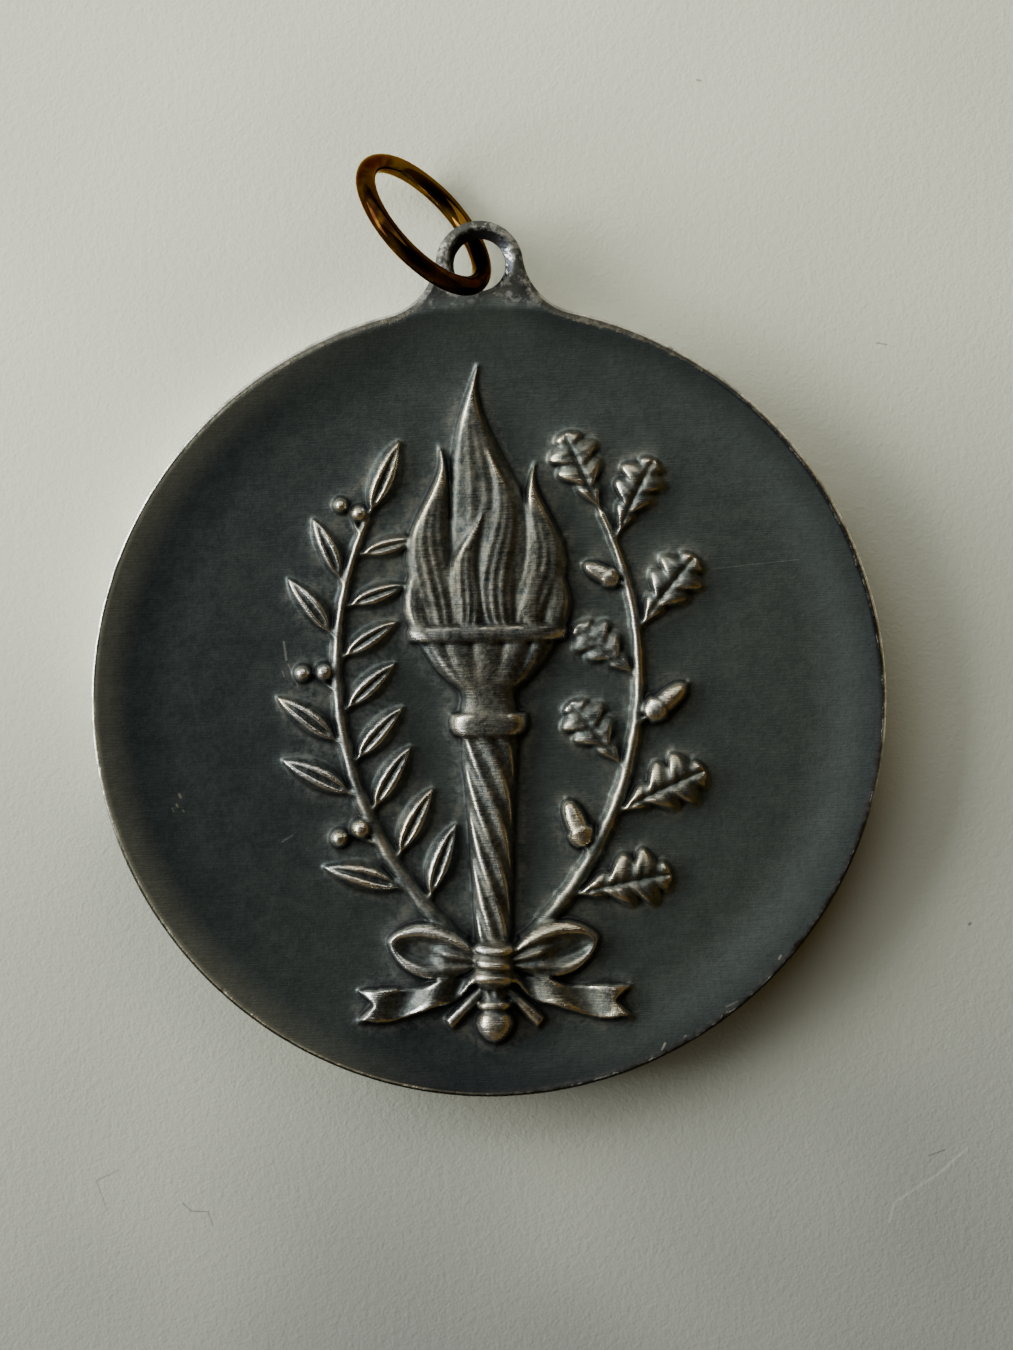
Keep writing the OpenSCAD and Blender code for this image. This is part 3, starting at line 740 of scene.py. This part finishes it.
class Die:
    """The heights that the die leaves above the field, on a fine grid."""

    def __init__(self):
        self.n = int(round(2 * REACH / PITCH)) + 1
        self.heights = np.zeros((self.n, self.n))

    def sink(self, points, faces):
        """Lays the highest surface of the punches onto the grid."""
        tree = BVHTree.FromPolygons(points.tolist(), faces.tolist())
        low, high = points.min(axis=0), points.max(axis=0)
        i0, i1 = self.cells(low[0]), self.cells(high[0]) + 1
        j0, j1 = self.cells(low[1]), self.cells(high[1]) + 1
        down = Vector((0.0, 0.0, -1.0))
        cast = tree.ray_cast
        for i in range(i0, i1 + 1):
            x = i * PITCH - REACH
            for j in range(j0, j1 + 1):
                hit = cast(Vector((x, j * PITCH - REACH, 9.0)), down)[0]
                if hit is not None and hit.z > self.heights[i, j]:
                    self.heights[i, j] = hit.z

    def cells(self, value):
        return int((value + REACH) / PITCH)

    def at(self, grid, x, y):
        """Heights between the grid's points."""
        i = np.clip((x + REACH) / PITCH, 0, self.n - 1.001)
        j = np.clip((y + REACH) / PITCH, 0, self.n - 1.001)
        i0, j0 = i.astype(int), j.astype(int)
        a, b = i - i0, j - j0
        return ((1 - a) * (1 - b) * grid[i0, j0] + a * (1 - b) * grid[i0 + 1, j0]
                + (1 - a) * b * grid[i0, j0 + 1] + a * b * grid[i0 + 1, j0 + 1])


def softened(grid, radius):
    """A grid blurred by a radius in millimetres."""
    sigma = radius / PITCH
    reach = int(math.ceil(3 * sigma))
    kernel = np.exp(-0.5 * (np.arange(-reach, reach + 1) / sigma) ** 2)
    kernel /= kernel.sum()
    for axis in (0, 1):
        padded = np.pad(grid, [(reach, reach) if k == axis else (0, 0) for k in (0, 1)], mode="edge")
        size = grid.shape[axis]
        grid = sum(w * np.take(padded, np.arange(k, k + size), axis=axis) for k, w in enumerate(kernel))
    return grid


def widened(mask, steps):
    for _ in range(steps):
        grown_mask = mask.copy()
        grown_mask[1:] |= mask[:-1]
        grown_mask[:-1] |= mask[1:]
        grown_mask[:, 1:] |= mask[:, :-1]
        grown_mask[:, :-1] |= mask[:, 1:]
        mask = grown_mask
    return mask


def relief_points(heights, limit):
    """Places for the mesh's points: close together where the relief turns sharply, far apart in the field."""
    n = heights.shape[0]
    chosen = np.zeros(heights.shape, dtype=bool)
    chosen[::8, ::8] = True
    for step, tolerance in ((8, 0.006), (4, 0.006), (2, 0.016)):
        idx = np.arange(n)
        low = np.minimum(idx // step * step, (n - 1) // step * step)
        high = np.minimum(low + step, (n - 1) // step * step)
        t = (idx - low) / step
        part = heights[low] * (1 - t)[:, None] + heights[high] * t[:, None]
        part = part[:, low] * (1 - t)[None, :] + part[:, high] * t[None, :]
        sharp = widened(np.abs(part - heights) > tolerance, step // 2)
        finer = np.zeros_like(chosen)
        finer[::step // 2, ::step // 2] = True
        chosen |= sharp & finer
    i, j = np.nonzero(chosen)
    x, y = i * PITCH - REACH, j * PITCH - REACH
    keep = x * x + y * y < limit * limit
    return np.stack([x[keep], y[keep]], axis=1)


def arc_points(start, end, count, radius, centre=(0.0, 0.0)):
    """Points along a circle from one angle to another."""
    a = np.linspace(start, end, count)
    return np.stack([centre[0] + radius * np.cos(a), centre[1] + radius * np.sin(a)], axis=1)


def far(points, centre_y=0.0):
    """How far points lie from the disc's middle, or from a point above it."""
    return np.hypot(points[:, 0], points[:, 1] - centre_y)


def thinned(points, fixed):
    """Leaves out a point that lies on an earlier one, but none of the fixed ones at the start."""
    first = np.unique(np.round(points / CLOSEST).astype(int), axis=0, return_index=True)[1]
    return points[np.union1d(np.arange(fixed), first)]


def eyelet_outline(sizes, count):
    """The outline from the left tangent point over the eyelet to the right one, and the angle of the latter."""
    disc_r = sizes.disc_d / MM / 2
    r = sizes.eyelet_d / MM / 2
    s = sizes.shoulder_r / MM
    hole_y = MEDAL_BOX[1][1] / MM - r
    outer, inner = disc_r + s, r + s
    cy = (outer * outer - inner * inner + hole_y * hole_y) / (2 * hole_y)
    cx = math.sqrt(outer * outer - cy * cy)
    angle = math.atan2(cy, cx)
    # Shoulder: from the disc's tangent point to the eyelet's, then over the top
    start = math.atan2(-cy, -cx)
    end = math.atan2(hole_y - cy, -cx)
    end += 2 * math.pi if end < start else 0
    start += 2 * math.pi if end - start > math.pi else 0
    shoulder = arc_points(start, end, count // 3, s, (cx, cy))
    top_from = math.atan2(cy - hole_y, cx)
    over = arc_points(top_from, math.pi - top_from, count // 2, r, (0.0, hole_y))[1:-1]
    return np.concatenate([shoulder, over, shoulder[::-1] * [-1, 1]])[::-1], angle, hole_y


def distance_to(line, points):
    """Shortest distance from each point to a line of short stretches."""
    best = np.full(len(points), np.inf)
    for p, q in zip(line[:-1], line[1:]):
        d = q - p
        t = np.clip(((points - p) @ d) / (d @ d), 0, 1)
        best = np.minimum(best, np.hypot(*(points - p - t[:, None] * d).T))
    return best


def smooth_step(x, low, high):
    t = np.clip((x - low) / (high - low), 0, 1)
    return t * t * (3 - 2 * t)


def round_off(distance, width, depth):
    """How far a rounded edge drops at a distance from the outline."""
    t = np.clip((width - distance) / width, 0, 1)
    return depth * (1 - np.sqrt(np.clip(1 - t * t, 0, 1)))


def bevelled(distance, width, depth):
    """How far a worn bevel drops: flat, with a crisp line where it meets the face."""
    return depth * np.clip((width - distance) / width, 0, 1)


def edge_width(theta):
    """Width of the worn bevel at a direction in degrees: broad along the top, narrow elsewhere, with nicks."""
    away = (theta - 90 + 180) % 360 - 180
    broad = 0.31 * np.exp(-np.abs(away / 41.0) ** 2.6) + 0.09 * np.exp(-((theta - 18 + 180) % 360 - 180) ** 2 / 500.0)
    uneven = sum(0.02 * size * np.sin(np.radians(theta * turns) + turns * 0.7)
                 for turns, size in ((7, 0.8), (23, 0.7), (61, 0.7), (97, 0.5)))
    width = 0.12 + broad + uneven
    for at, breadth, extra in NICKS:
        gap = (theta - at + 180) % 360 - 180
        width = width + extra * np.exp(-(gap / breadth) ** 2)
    return width


def triangulated(points, loops, keep):
    """Triangles over points, bounded by closed loops of point numbers; keep chooses them by their centres."""
    edges = [(loop[k], loop[(k + 1) % len(loop)]) for loop in loops for k in range(len(loop))]
    result = delaunay_2d_cdt([Vector(p) for p in points.tolist()], edges, [], 1, 1e-6)
    if len(result[0]) != len(points):
        raise RuntimeError("points of the medal's face fall on each other")
    faces = np.array([o[0] for o in result[3]])[np.array(result[2])]
    return faces[keep(points[faces].mean(axis=1))]


def build_medal(sizes, die, relief, swell, material):
    """The whole medal as one closed mesh: struck face, worn edge, eyelet, wall and back."""
    disc_r = sizes.disc_d / MM / 2
    top = sizes.disc_t / MM
    field_z = top - sizes.field_depth / MM
    field_r = sizes.field_d / MM / 2
    hole_r = sizes.hole_d / MM / 2
    eye_top = top - sizes.eyelet_drop / MM
    eye_low = eye_top - sizes.eyelet_t / MM
    back_round, front_round = 0.42, 0.27
    lip_w, lip_depth = 0.37, 0.56
    # Where the disc's edge starts, inside its outline, and how high its wall's two lower bands reach
    edge_zone, wall_foot, wall_middle = 2.62, 0.16, 0.9
    eye_line, tangent, hole_y = eyelet_outline(sizes, 150)
    # Loops, counter-clockwise: the disc's arc below, the eyelet's line above, the root's arc under the eyelet
    n_disc = 1100
    left, right = math.pi - tangent, 2 * math.pi + tangent
    disc_loop = arc_points(left, right, n_disc, disc_r)
    eye_part = eye_line[::-1][1:-1]
    root_loop = arc_points(tangent, left, 70, disc_r)[1:-1]
    centre = np.array([0.0, hole_y])
    ring = arc_points(0, 2 * math.pi, 97, 1.0)[:-1]
    whole_eye_line = np.concatenate([disc_loop[-1:], eye_part, disc_loop[:1]])

    def theta_of(p):
        return np.degrees(np.arctan2(p[:, 1], p[:, 0]))

    def near_eye(p):
        """One on the eyelet and its shoulders, nought on the disc."""
        return smooth_step(far(p) - disc_r, -0.35, 0.9) * (p[:, 1] > 15)

    def under_eye(p):
        return np.abs(np.pi / 2 - np.arctan2(p[:, 1], p[:, 0])) < (math.pi / 2 - tangent)

    def lip_shift(x, y):
        turn = np.arctan2(y - hole_y, x)
        return LIP_SHIFT[1] * np.sin(turn) + LIP_SHIFT[0] * np.cos(turn)

    def eye_distance(p):
        return distance_to(whole_eye_line, p)

    def outline_distance(p):
        """How far points lie inside the outline; only those near the eyelet are measured against its line."""
        close = (p[:, 1] > 17.5) & (np.abs(p[:, 0]) < 8.5)
        e = np.full(len(p), np.inf)
        e[close] = eye_distance(p[close])
        return np.where(under_eye(p) & close, e, np.maximum(disc_r - far(p), 0))

    def clear(p, distance, edge_gap, hole_gap):
        return (distance(p) > edge_gap) & (far(p, hole_y) - hole_r > hole_gap)

    def off_hole(c):
        return far(c, hole_y) > hole_r * 1.002

    def face_heights(p, on_edge):
        x, y = p.T
        r = far(p)
        d = outline_distance(p)
        d[:on_edge] = 0.0
        eye = near_eye(p)
        rise_from, rise_to = field_r - 1.3, disc_r - 0.28
        t = np.clip((r - rise_from) / (rise_to - rise_from), 0, 1)
        dish = field_z + (top - field_z) * t * t * (1.6 - 0.6 * t)
        width = edge_width(theta_of(p)) * (1 - eye) + front_round * eye
        z = dish * (1 - eye) + eye_top * eye - bevelled(d, width, np.minimum(width * 0.62, 0.22))
        sunk = lip_depth - 0.24 * np.clip(np.cos(np.arctan2(y - hole_y, x)), 0, 1) ** 2
        hole_away = np.maximum(far(p, hole_y) - hole_r, 0)
        z = z - round_off(d, 0.03, 0.02) - bevelled(hole_away, lip_w + lip_shift(x, y), sunk)
        z = z + (die.at(swell, x, y) + die.at(relief, x, y)) * (r < REACH - 0.2)
        # Uneven metal on the eyelet
        bumps = 0.008 * np.sin(5.1 * x + 2.3 * y) * np.sin(3.7 * y - 1.9 * x)
        return z + eye * (bumps + 0.005 * np.sin(11 * x + 3) * np.sin(9 * y))

    # Face: rings of points that lie close together near its edges, and a fine grid on the eyelet
    rings = [arc_points(left + 0.004, right - 0.004, n_disc // (1 if d < 0.3 else 2), disc_r - d)
             for d in (0.03, 0.07, 0.12, 0.18, 0.25, 0.34, 0.46, 0.62, 0.82)]
    rings += [arc_points(0, 2 * math.pi, 560, disc_r - d)[:-1] for d in np.arange(1.05, edge_zone, 0.24)]
    rings += [arc_points(0, 2 * math.pi, 110, hole_r + d, centre)[:-1]
              for d in (0.035, 0.08, 0.13, 0.19, 0.25, 0.31, 0.37, 0.44, 0.51, 0.58)]
    normal = np.gradient(whole_eye_line, axis=0)
    normal = np.stack([-normal[:, 1], normal[:, 0]], axis=1)
    normal /= np.linalg.norm(normal, axis=1)[:, None]
    rings += [(whole_eye_line + normal * d)[2:-2] for d in (0.03, 0.07, 0.12, 0.18, 0.25, 0.33, 0.43)]
    gx, gy = np.meshgrid(np.arange(-7.2, 7.2, 0.13), np.arange(18.2, 24.2, 0.13), indexing="ij")
    extra = np.stack([gx.ravel(), gy.ravel()], axis=1)
    extra += 0.02 * np.sin(extra[:, ::-1] * 37)
    grid = extra[clear(extra, outline_distance, 0.5, 0.64) & (far(extra) > disc_r - 1.0)]
    inner = np.concatenate(rings + [grid])
    inner = inner[clear(inner, outline_distance, 0.022, 0.03) & ((far(inner) < disc_r) | under_eye(inner))]
    n_outline = len(disc_loop) + len(eye_part)
    hole_loop = centre + hole_r * ring
    fixed = n_outline + len(hole_loop)
    face = thinned(np.concatenate([disc_loop, eye_part, hole_loop, inner,
                                   relief_points(relief + swell, disc_r - edge_zone)]), fixed)
    points = [np.column_stack([face, face_heights(face, n_outline)])]
    faces = [triangulated(face, [list(range(n_outline)), list(range(n_outline, fixed))], off_hole)]
    count = len(face)

    def put(xy, z):
        nonlocal count
        points.append(np.column_stack([xy, z]))
        count += len(xy)
        return np.arange(count - len(xy), count)

    def wall(lower, upper, closed=False):
        n = len(lower)
        k = np.arange(n if closed else n - 1)
        m = (k + 1) % n
        faces.append(np.stack([lower[k], lower[m], upper[m]], axis=1))
        faces.append(np.stack([lower[k], upper[m], upper[k]], axis=1))

    disc_ids = np.arange(n_disc)
    eye_ids = np.concatenate([np.arange(n_disc - 1, n_outline), [0]])
    hole_ids = np.arange(n_outline, fixed)

    # Underside of the eyelet, from its line round to the root's arc
    under_loop = np.concatenate([whole_eye_line, root_loop[::-1]])
    under_rings = [(whole_eye_line + normal * q)[3:-3] for q in (0.05, 0.12, 0.2, 0.3, 0.42)]
    under_rings += [centre + (hole_r + q) * ring for q in (0.05, 0.13, 0.24, 0.38)]
    grid = extra[clear(extra, eye_distance, 0.5, 0.45) & (far(extra) > disc_r + 0.08)]
    inner = np.concatenate([grid] + under_rings)
    inner = inner[clear(inner, eye_distance, 0.03, 0.03) & (far(inner) > disc_r + 0.05)]
    n_line, n_under = len(whole_eye_line), len(under_loop)
    n_fixed = n_under + len(hole_loop)
    under_pts = thinned(np.concatenate([under_loop, hole_loop, inner]), n_fixed)
    inside_eye = triangulated(under_pts, [list(range(n_under)), list(range(n_under, n_fixed))], off_hole)
    e = eye_distance(under_pts)
    e[:n_line] = 0
    h = np.maximum(far(under_pts, hole_y) - hole_r, 0)
    under_ids = put(under_pts, eye_low + round_off(e, back_round, back_round) + round_off(h, 0.36, 0.36))
    faces.append(under_ids[inside_eye][:, ::-1])
    line_ids = under_ids[:n_line]
    root_ids = under_ids[n_line:n_under][::-1]
    wall(line_ids, eye_ids)
    wall(under_ids[n_under:n_fixed][::-1], hole_ids[::-1], closed=True)

    # Wall of the disc in three bands, the root's wall under the eyelet, and the back
    circle = np.concatenate([disc_loop, root_loop])
    low_ids, mid_ids = (put(circle, np.full(len(circle), z)) for z in (wall_foot, wall_middle))
    shelf = put(disc_loop[1:-1], np.full(n_disc - 2, eye_low + back_round))
    shelf_ids = np.concatenate([[line_ids[-1]], shelf, [line_ids[0]]])
    wall(low_ids, mid_ids, closed=True)
    wall(mid_ids[:n_disc], shelf_ids)
    wall(shelf_ids, disc_ids)
    around = np.concatenate([mid_ids[n_disc - 1:], mid_ids[:1]])
    wall(around, np.concatenate([[line_ids[0]], root_ids, [line_ids[-1]]]))
    last = low_ids
    for d, z in ((0.02, 0.07), (0.07, 0.02), (wall_foot, 0.0), (0.8, 0.0), (10.0, 0.0)):
        ids = put(circle * (1 - d / disc_r), np.full(len(circle), z))
        wall(ids, last, closed=True)
        last = ids
    middle = put(np.zeros((1, 2)), np.zeros(1))[0]
    k = np.arange(len(last))
    faces.append(np.stack([last[(k + 1) % len(last)], last[k], np.full(len(last), middle)], axis=1))

    points = np.concatenate(points)
    piece = object_from("medal_struck", points * MM, np.concatenate(faces), material)

    # What the finish reads: height above the field, hollows and ridges, how far inside the rubbed edge (in mm)
    # and inside the hole's lip, and the eyelet
    x, y, z = points.T
    flat = points[:, :2]
    on_face = np.arange(len(points)) < len(face)
    r = far(points)
    inside = on_face & (r < REACH - 0.3)
    eye = near_eye(flat) * (on_face | (z > 1.0))
    d = outline_distance(flat)
    width = edge_width(theta_of(points)) * (1 - eye) + (front_round + 0.04) * eye
    wall_edge = np.where(z > 0.2, -0.05, np.clip(r - disc_r + 0.2, -1, 1))
    hollows = relief - softened(relief, 0.13) + 0.3 * (relief - softened(relief, 0.45))
    for name, values in {
            "height": np.where(inside, die.at(relief, x, y), 0.0),
            "cavity": np.where(inside, die.at(hollows, x, y), 0.0),
            "halo": np.where(inside, die.at(softened(relief, 0.5), x, y), 0.0),
            "edge": np.where(on_face, np.clip(width - d, -1, 1), wall_edge),
            "brink": np.where(on_face, np.clip(d, 0, 3), 0.0),
            "lip": np.clip(far(points, hole_y) - hole_r - lip_shift(x, y), -1, 2),
            "eyelet": eye}.items():
        piece.data.attributes.new(name, "FLOAT", "POINT").data.foreach_set("value", values.astype(np.float32))
    return piece


# ---- Operators

class MEDAL_OT_cut_punches(bpy.types.Operator):
    """Cut the punches of the relief: torch, flames, laurel, oak and ribbon"""
    bl_idname = "medal.cut_punches"
    bl_label = "Cut the punches"

    def execute(self, context):
        sizes = context.scene.medal_sizes
        leaf_rise = sizes.leaf_rise / MM
        ribbon_rise = sizes.ribbon_rise / MM
        torch_rise = sizes.torch_rise / MM
        shapes = {"berries": object_from("punch_berries", *berries(leaf_rise)),
                  "acorn": object_from("punch_acorn", *acorn(leaf_rise * 1.15))}
        for side, bend in (("outer", 0.3), ("inner", -0.3), ("tip", 0.0)):
            shapes["laurel_" + side] = object_from("punch_laurel", *laurel_leaf(4.0, 0.76, leaf_rise, bend))
            shapes["oak_" + side] = object_from("punch_oak", *oak_leaf(4.9, 1.6, leaf_rise, bend))
        tree, sockets = leaf_row_tree()
        step = (LEAVES_TO - LEAVES_FROM) / 8
        # Leaf, fruit, leaves in the row, fruit every, fruit at, mirror, from, to, turn, first size, last size
        table = [
            ("laurel_outer", "berries", 8, 3, 1, -1, LEAVES_FROM + 1.6, LEAVES_TO + 1.6, -36, 1.0, 0.8),
            ("laurel_inner", "berries", 8, 3, 99, -1, LEAVES_FROM - 1.6, LEAVES_TO - 1.6, 54, 0.95, 0.725),
            ("oak_outer", "acorn", 5, 3, 2, 1, LEAVES_FROM, LEAVES_TO, -40, 1.0, 0.84),
            ("oak_inner", "acorn", 4, 3, 0, 1, LEAVES_FROM + step, LEAVES_TO - step, 50, 0.88, 0.7),
            ("laurel_tip", "berries", 1, 1, 9, -1, STEM_TO - 1, STEM_TO - 1, 0, 0.95, 0.95),
            ("oak_tip", "acorn", 1, 1, 9, 1, STEM_TO - 1, STEM_TO - 1, 0, 0.86, 0.86)]
        leaves = []
        for leaf, fruit, count, every, at, mirror, start, end, turn, first, last in table:
            mesh = grown(tree, sockets, {
                "Leaf": shapes[leaf], "Fruit": shapes[fruit], "Count": count, "Fruit every": every, "Fruit at": at,
                "Mirror": float(mirror), "From": math.radians(start), "To": math.radians(end),
                "Turn": math.radians(turn), "First size": first, "Last size": last, "Centre x": ARC_X,
                "Centre y": ARC_Y, "Radius": ARC_R, "Unevenness": math.radians(4 if count > 1 else 0)})
            leaves.append(quads_of(mesh))
            bpy.data.meshes.remove(mesh)
        pairs = [part(side, rise) for part, rise in ((stem, 0.5), (tail, ribbon_rise), (bow_loop, ribbon_rise))
                 for side in (-1, 1)]
        flames = [flame(*row[:6], row[6] * torch_rise / TORCH_RISE, row[7]) for row in FLAMES]
        object_from("punches", *joined([*pairs, *leaves, torch(torch_rise), *flames, knot(torch_rise * 1.1)]))
        for shape in shapes.values():
            bpy.data.objects.remove(shape)
        bpy.data.node_groups.remove(tree)
        return {"FINISHED"}


class MEDAL_OT_strike(bpy.types.Operator):
    """Strike the medal: lay the punches' heights into one closed mesh with its edge, eyelet and back"""
    bl_idname = "medal.strike"
    bl_label = "Strike the medal"

    def execute(self, context):
        sizes = context.scene.medal_sizes
        punches = bpy.data.objects["punches"]
        die = Die()
        die.sink(*quads_of(punches.data))
        bpy.data.objects.remove(punches)
        relief = softened(die.heights, sizes.softness / MM)
        mask = softened((die.heights > 0.05).astype(float), 0.75)
        swell = sizes.swell_rise / MM * np.clip(mask * 1.6, 0, 1)
        if sizes.disc_d / MM / 2 < REACH:
            raise RuntimeError("the disc is smaller than its relief")
        piece = build_medal(sizes, die, relief, swell, silver_material(context.scene.medal_finish))
        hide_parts("medal")
        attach(piece, "root")
        return {"FINISHED"}


class MEDAL_OT_jump_ring(bpy.types.Operator):
    """Bend the jump ring from a length of wire"""
    bl_idname = "medal.jump_ring"
    bl_label = "Bend the jump ring"

    def execute(self, context):
        sizes = context.scene.medal_ring
        names = ("Ring radius", "Wire radius", "Start", "Sweep", "Unevenness")
        tree, nodes, sockets, given = new_tree("wire_ring", dict.fromkeys(names, "Float") | {"Metal": "Material"})
        arc = nodes.add("GeometryNodeCurveArc", {}, Resolution=241, Radius=given["Ring radius"],
                        Start_Angle=given["Start"], Sweep_Angle=given["Sweep"])
        wire = nodes.add("GeometryNodeCurvePrimitiveCircle", {}, Resolution=40, Radius=given["Wire radius"])
        tube = nodes.add("GeometryNodeCurveToMesh", {}, Curve=arc, Profile_Curve=wire, Fill_Caps=True)
        wave = nodes.noise(nodes.add("GeometryNodeInputPosition"), 420.0, 2.0, 0.5) - 0.5
        push = nodes.vector("SCALE", nodes.add("GeometryNodeInputNormal"), Scale=wave * given["Unevenness"])
        uneven = nodes.add("GeometryNodeSetPosition", {}, Geometry=tube, Offset=push)
        end_tree(tree, nodes, nodes.add("GeometryNodeSetShadeSmooth", {}, Geometry=uneven), given["Metal"])
        mid_r = (sizes.ring_d - sizes.wire_d) / 2
        gap = sizes.split_w / mid_r
        values = (mid_r, sizes.wire_d / 2, sizes.split_at + gap / 2, 2 * math.pi - gap, 0.000035)
        mesh = grown(tree, sockets, dict(zip(names, values)) | {"Metal": brass_material(context.scene.medal_finish)})
        mesh.transform(Matrix.Translation(sizes.centre) @ Matrix.Rotation(sizes.turn, 4, "Z")
                       @ Matrix.Rotation(sizes.lean, 4, "X"))
        piece = bpy.data.objects.new("jump_ring_wire", mesh)
        context.scene.collection.objects.link(piece)
        bpy.data.node_groups.remove(tree)
        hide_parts("jump_ring")
        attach(piece, "root")
        return {"FINISHED"}


class MEDAL_OT_stage(bpy.types.Operator):
    """Lay the painted surface and set the window light, the fill and the camera"""
    bl_idname = "medal.stage"
    bl_label = "Set the stage"

    def execute(self, context):
        stage = context.scene.medal_stage
        reach, under = 0.45, -2e-5
        corners = [(x * reach, y * reach, under) for x, y in ((-1, -1), (1, -1), (1, 1), (-1, 1))]
        floor = object_from("painted_surface", corners, [(0, 1, 2, 3)], surface_material(context.scene.medal_finish))
        self.windows(context, stage)
        self.room(context, stage)
        self.camera(context, stage)
        return {"FINISHED"}

    @staticmethod
    def direction(azimuth, height):
        a, e = math.radians(azimuth), math.radians(height)
        return Vector((math.cos(a) * math.cos(e), math.sin(a) * math.cos(e), math.sin(e)))

    def windows(self, context, stage):
        """A large soft window on the left and a smaller one beyond the medal."""
        for name, azimuth, height, distance, size, power in (
                ("window", 169, 24, 0.3, (0.24, 0.14), stage.window_power),
                ("far_window", 96, 40, 0.13, (0.18, 0.09), stage.window_power * 0.07)):
            light = bpy.data.lights.new(name, "AREA")
            light.shape = "RECTANGLE"
            light.size, light.size_y = size
            light.energy = power
            light.color = stage.daylight
            lamp = bpy.data.objects.new(name, light)
            aim = self.direction(azimuth, height)
            lamp.location = aim * distance
            lamp.rotation_euler = aim.to_track_quat("Z", "Y").to_euler()
            context.scene.collection.objects.link(lamp)

    def room(self, context, stage):
        """Soft light that comes mostly from the window's side, with the room dim and warm behind it."""
        world = bpy.data.worlds.new("room")
        world.use_nodes = True
        world.node_tree.nodes.clear()
        nodes = Nodes(world.node_tree)
        way = nodes.add("ShaderNodeTexCoord", {}, out=0)
        glow = nodes.along(way, tuple(self.direction(165, 20))).math("MAXIMUM", 0.0) ** 3.0
        low = 1 - nodes.along(way, (0.0, 0.0, 1.0)).between(0.1, 0.85)
        colour = nodes.mix(glow.between(0.0, 0.2), (1.0, 0.58, 0.05), (0.97, 1.0, 0.99))
        background = nodes.add("ShaderNodeBackground", {}, colour, glow * stage.glow + low * stage.fill + 0.006)
        nodes.add("ShaderNodeOutputWorld", {}, background)
        context.scene.world = world

    def camera(self, context, stage):
        """The picture's frame: the disc's middle stands left of the picture's middle and below it."""
        # In the picture's pixels: how many go to a millimetre, its size, and the disc's middle
        scale = 19.9
        wide, tall = 1013, 1350
        middle = (488.5, 701.3)
        across, up = (wide / 2 - middle[0]) / scale * MM, (middle[1] - tall / 2) / scale * MM
        c, s = math.cos(stage.roll), math.sin(stage.roll)
        target = Vector((c * across + s * up, -s * across + c * up, context.scene.medal_sizes.disc_t))
        t, a = stage.tilt, stage.azimuth
        back = Vector((math.sin(t) * math.cos(a), math.sin(t) * math.sin(a), math.cos(t)))
        right = Vector((s, c, 0.0)).cross(back).normalized()
        above = back.cross(right)
        data = bpy.data.cameras.new("camera")
        data.sensor_width = 36.0
        data.lens = 36.0 * scale * stage.distance / MM / tall
        data.clip_start, data.clip_end = 0.01, 10.0
        camera = bpy.data.objects.new("camera", data)
        turn = Matrix((right, above, back)).transposed().to_4x4()
        camera.matrix_world = Matrix.Translation(target + back * stage.distance) @ turn
        context.scene.collection.objects.link(camera)
        context.scene.camera = camera


class MEDAL_PT_panel(bpy.types.Panel):
    """Sizes, finishes and steps of the medal"""
    bl_idname = "MEDAL_PT_panel"
    bl_label = "Struck medal"
    bl_space_type = "VIEW_3D"
    bl_region_type = "UI"
    bl_category = "Medal"

    def draw(self, context):
        scene = context.scene
        for group in (scene.medal_sizes, scene.medal_ring, scene.medal_finish, scene.medal_stage):
            box = self.layout.box()
            for name in group.__annotations__:
                box.prop(group, name)
        for operator in STEPS:
            self.layout.operator(operator.bl_idname)


GROUPS = {"medal_sizes": MedalSizes, "medal_ring": RingSizes, "medal_finish": Finish, "medal_stage": StageSettings}
STEPS = (MEDAL_OT_cut_punches, MEDAL_OT_strike, MEDAL_OT_jump_ring, MEDAL_OT_stage)


def register():
    for cls in (*GROUPS.values(), *STEPS, MEDAL_PT_panel):
        bpy.utils.register_class(cls)
    for name, cls in GROUPS.items():
        setattr(bpy.types.Scene, name, bpy.props.PointerProperty(type=cls))


def unregister():
    for name in GROUPS:
        delattr(bpy.types.Scene, name)
    for cls in reversed((*GROUPS.values(), *STEPS, MEDAL_PT_panel)):
        bpy.utils.unregister_class(cls)


def main():
    register()
    bpy.ops.medal.cut_punches()
    bpy.ops.medal.strike()
    bpy.ops.medal.jump_ring()
    bpy.ops.medal.stage()


if __name__ == "__main__":
    main()
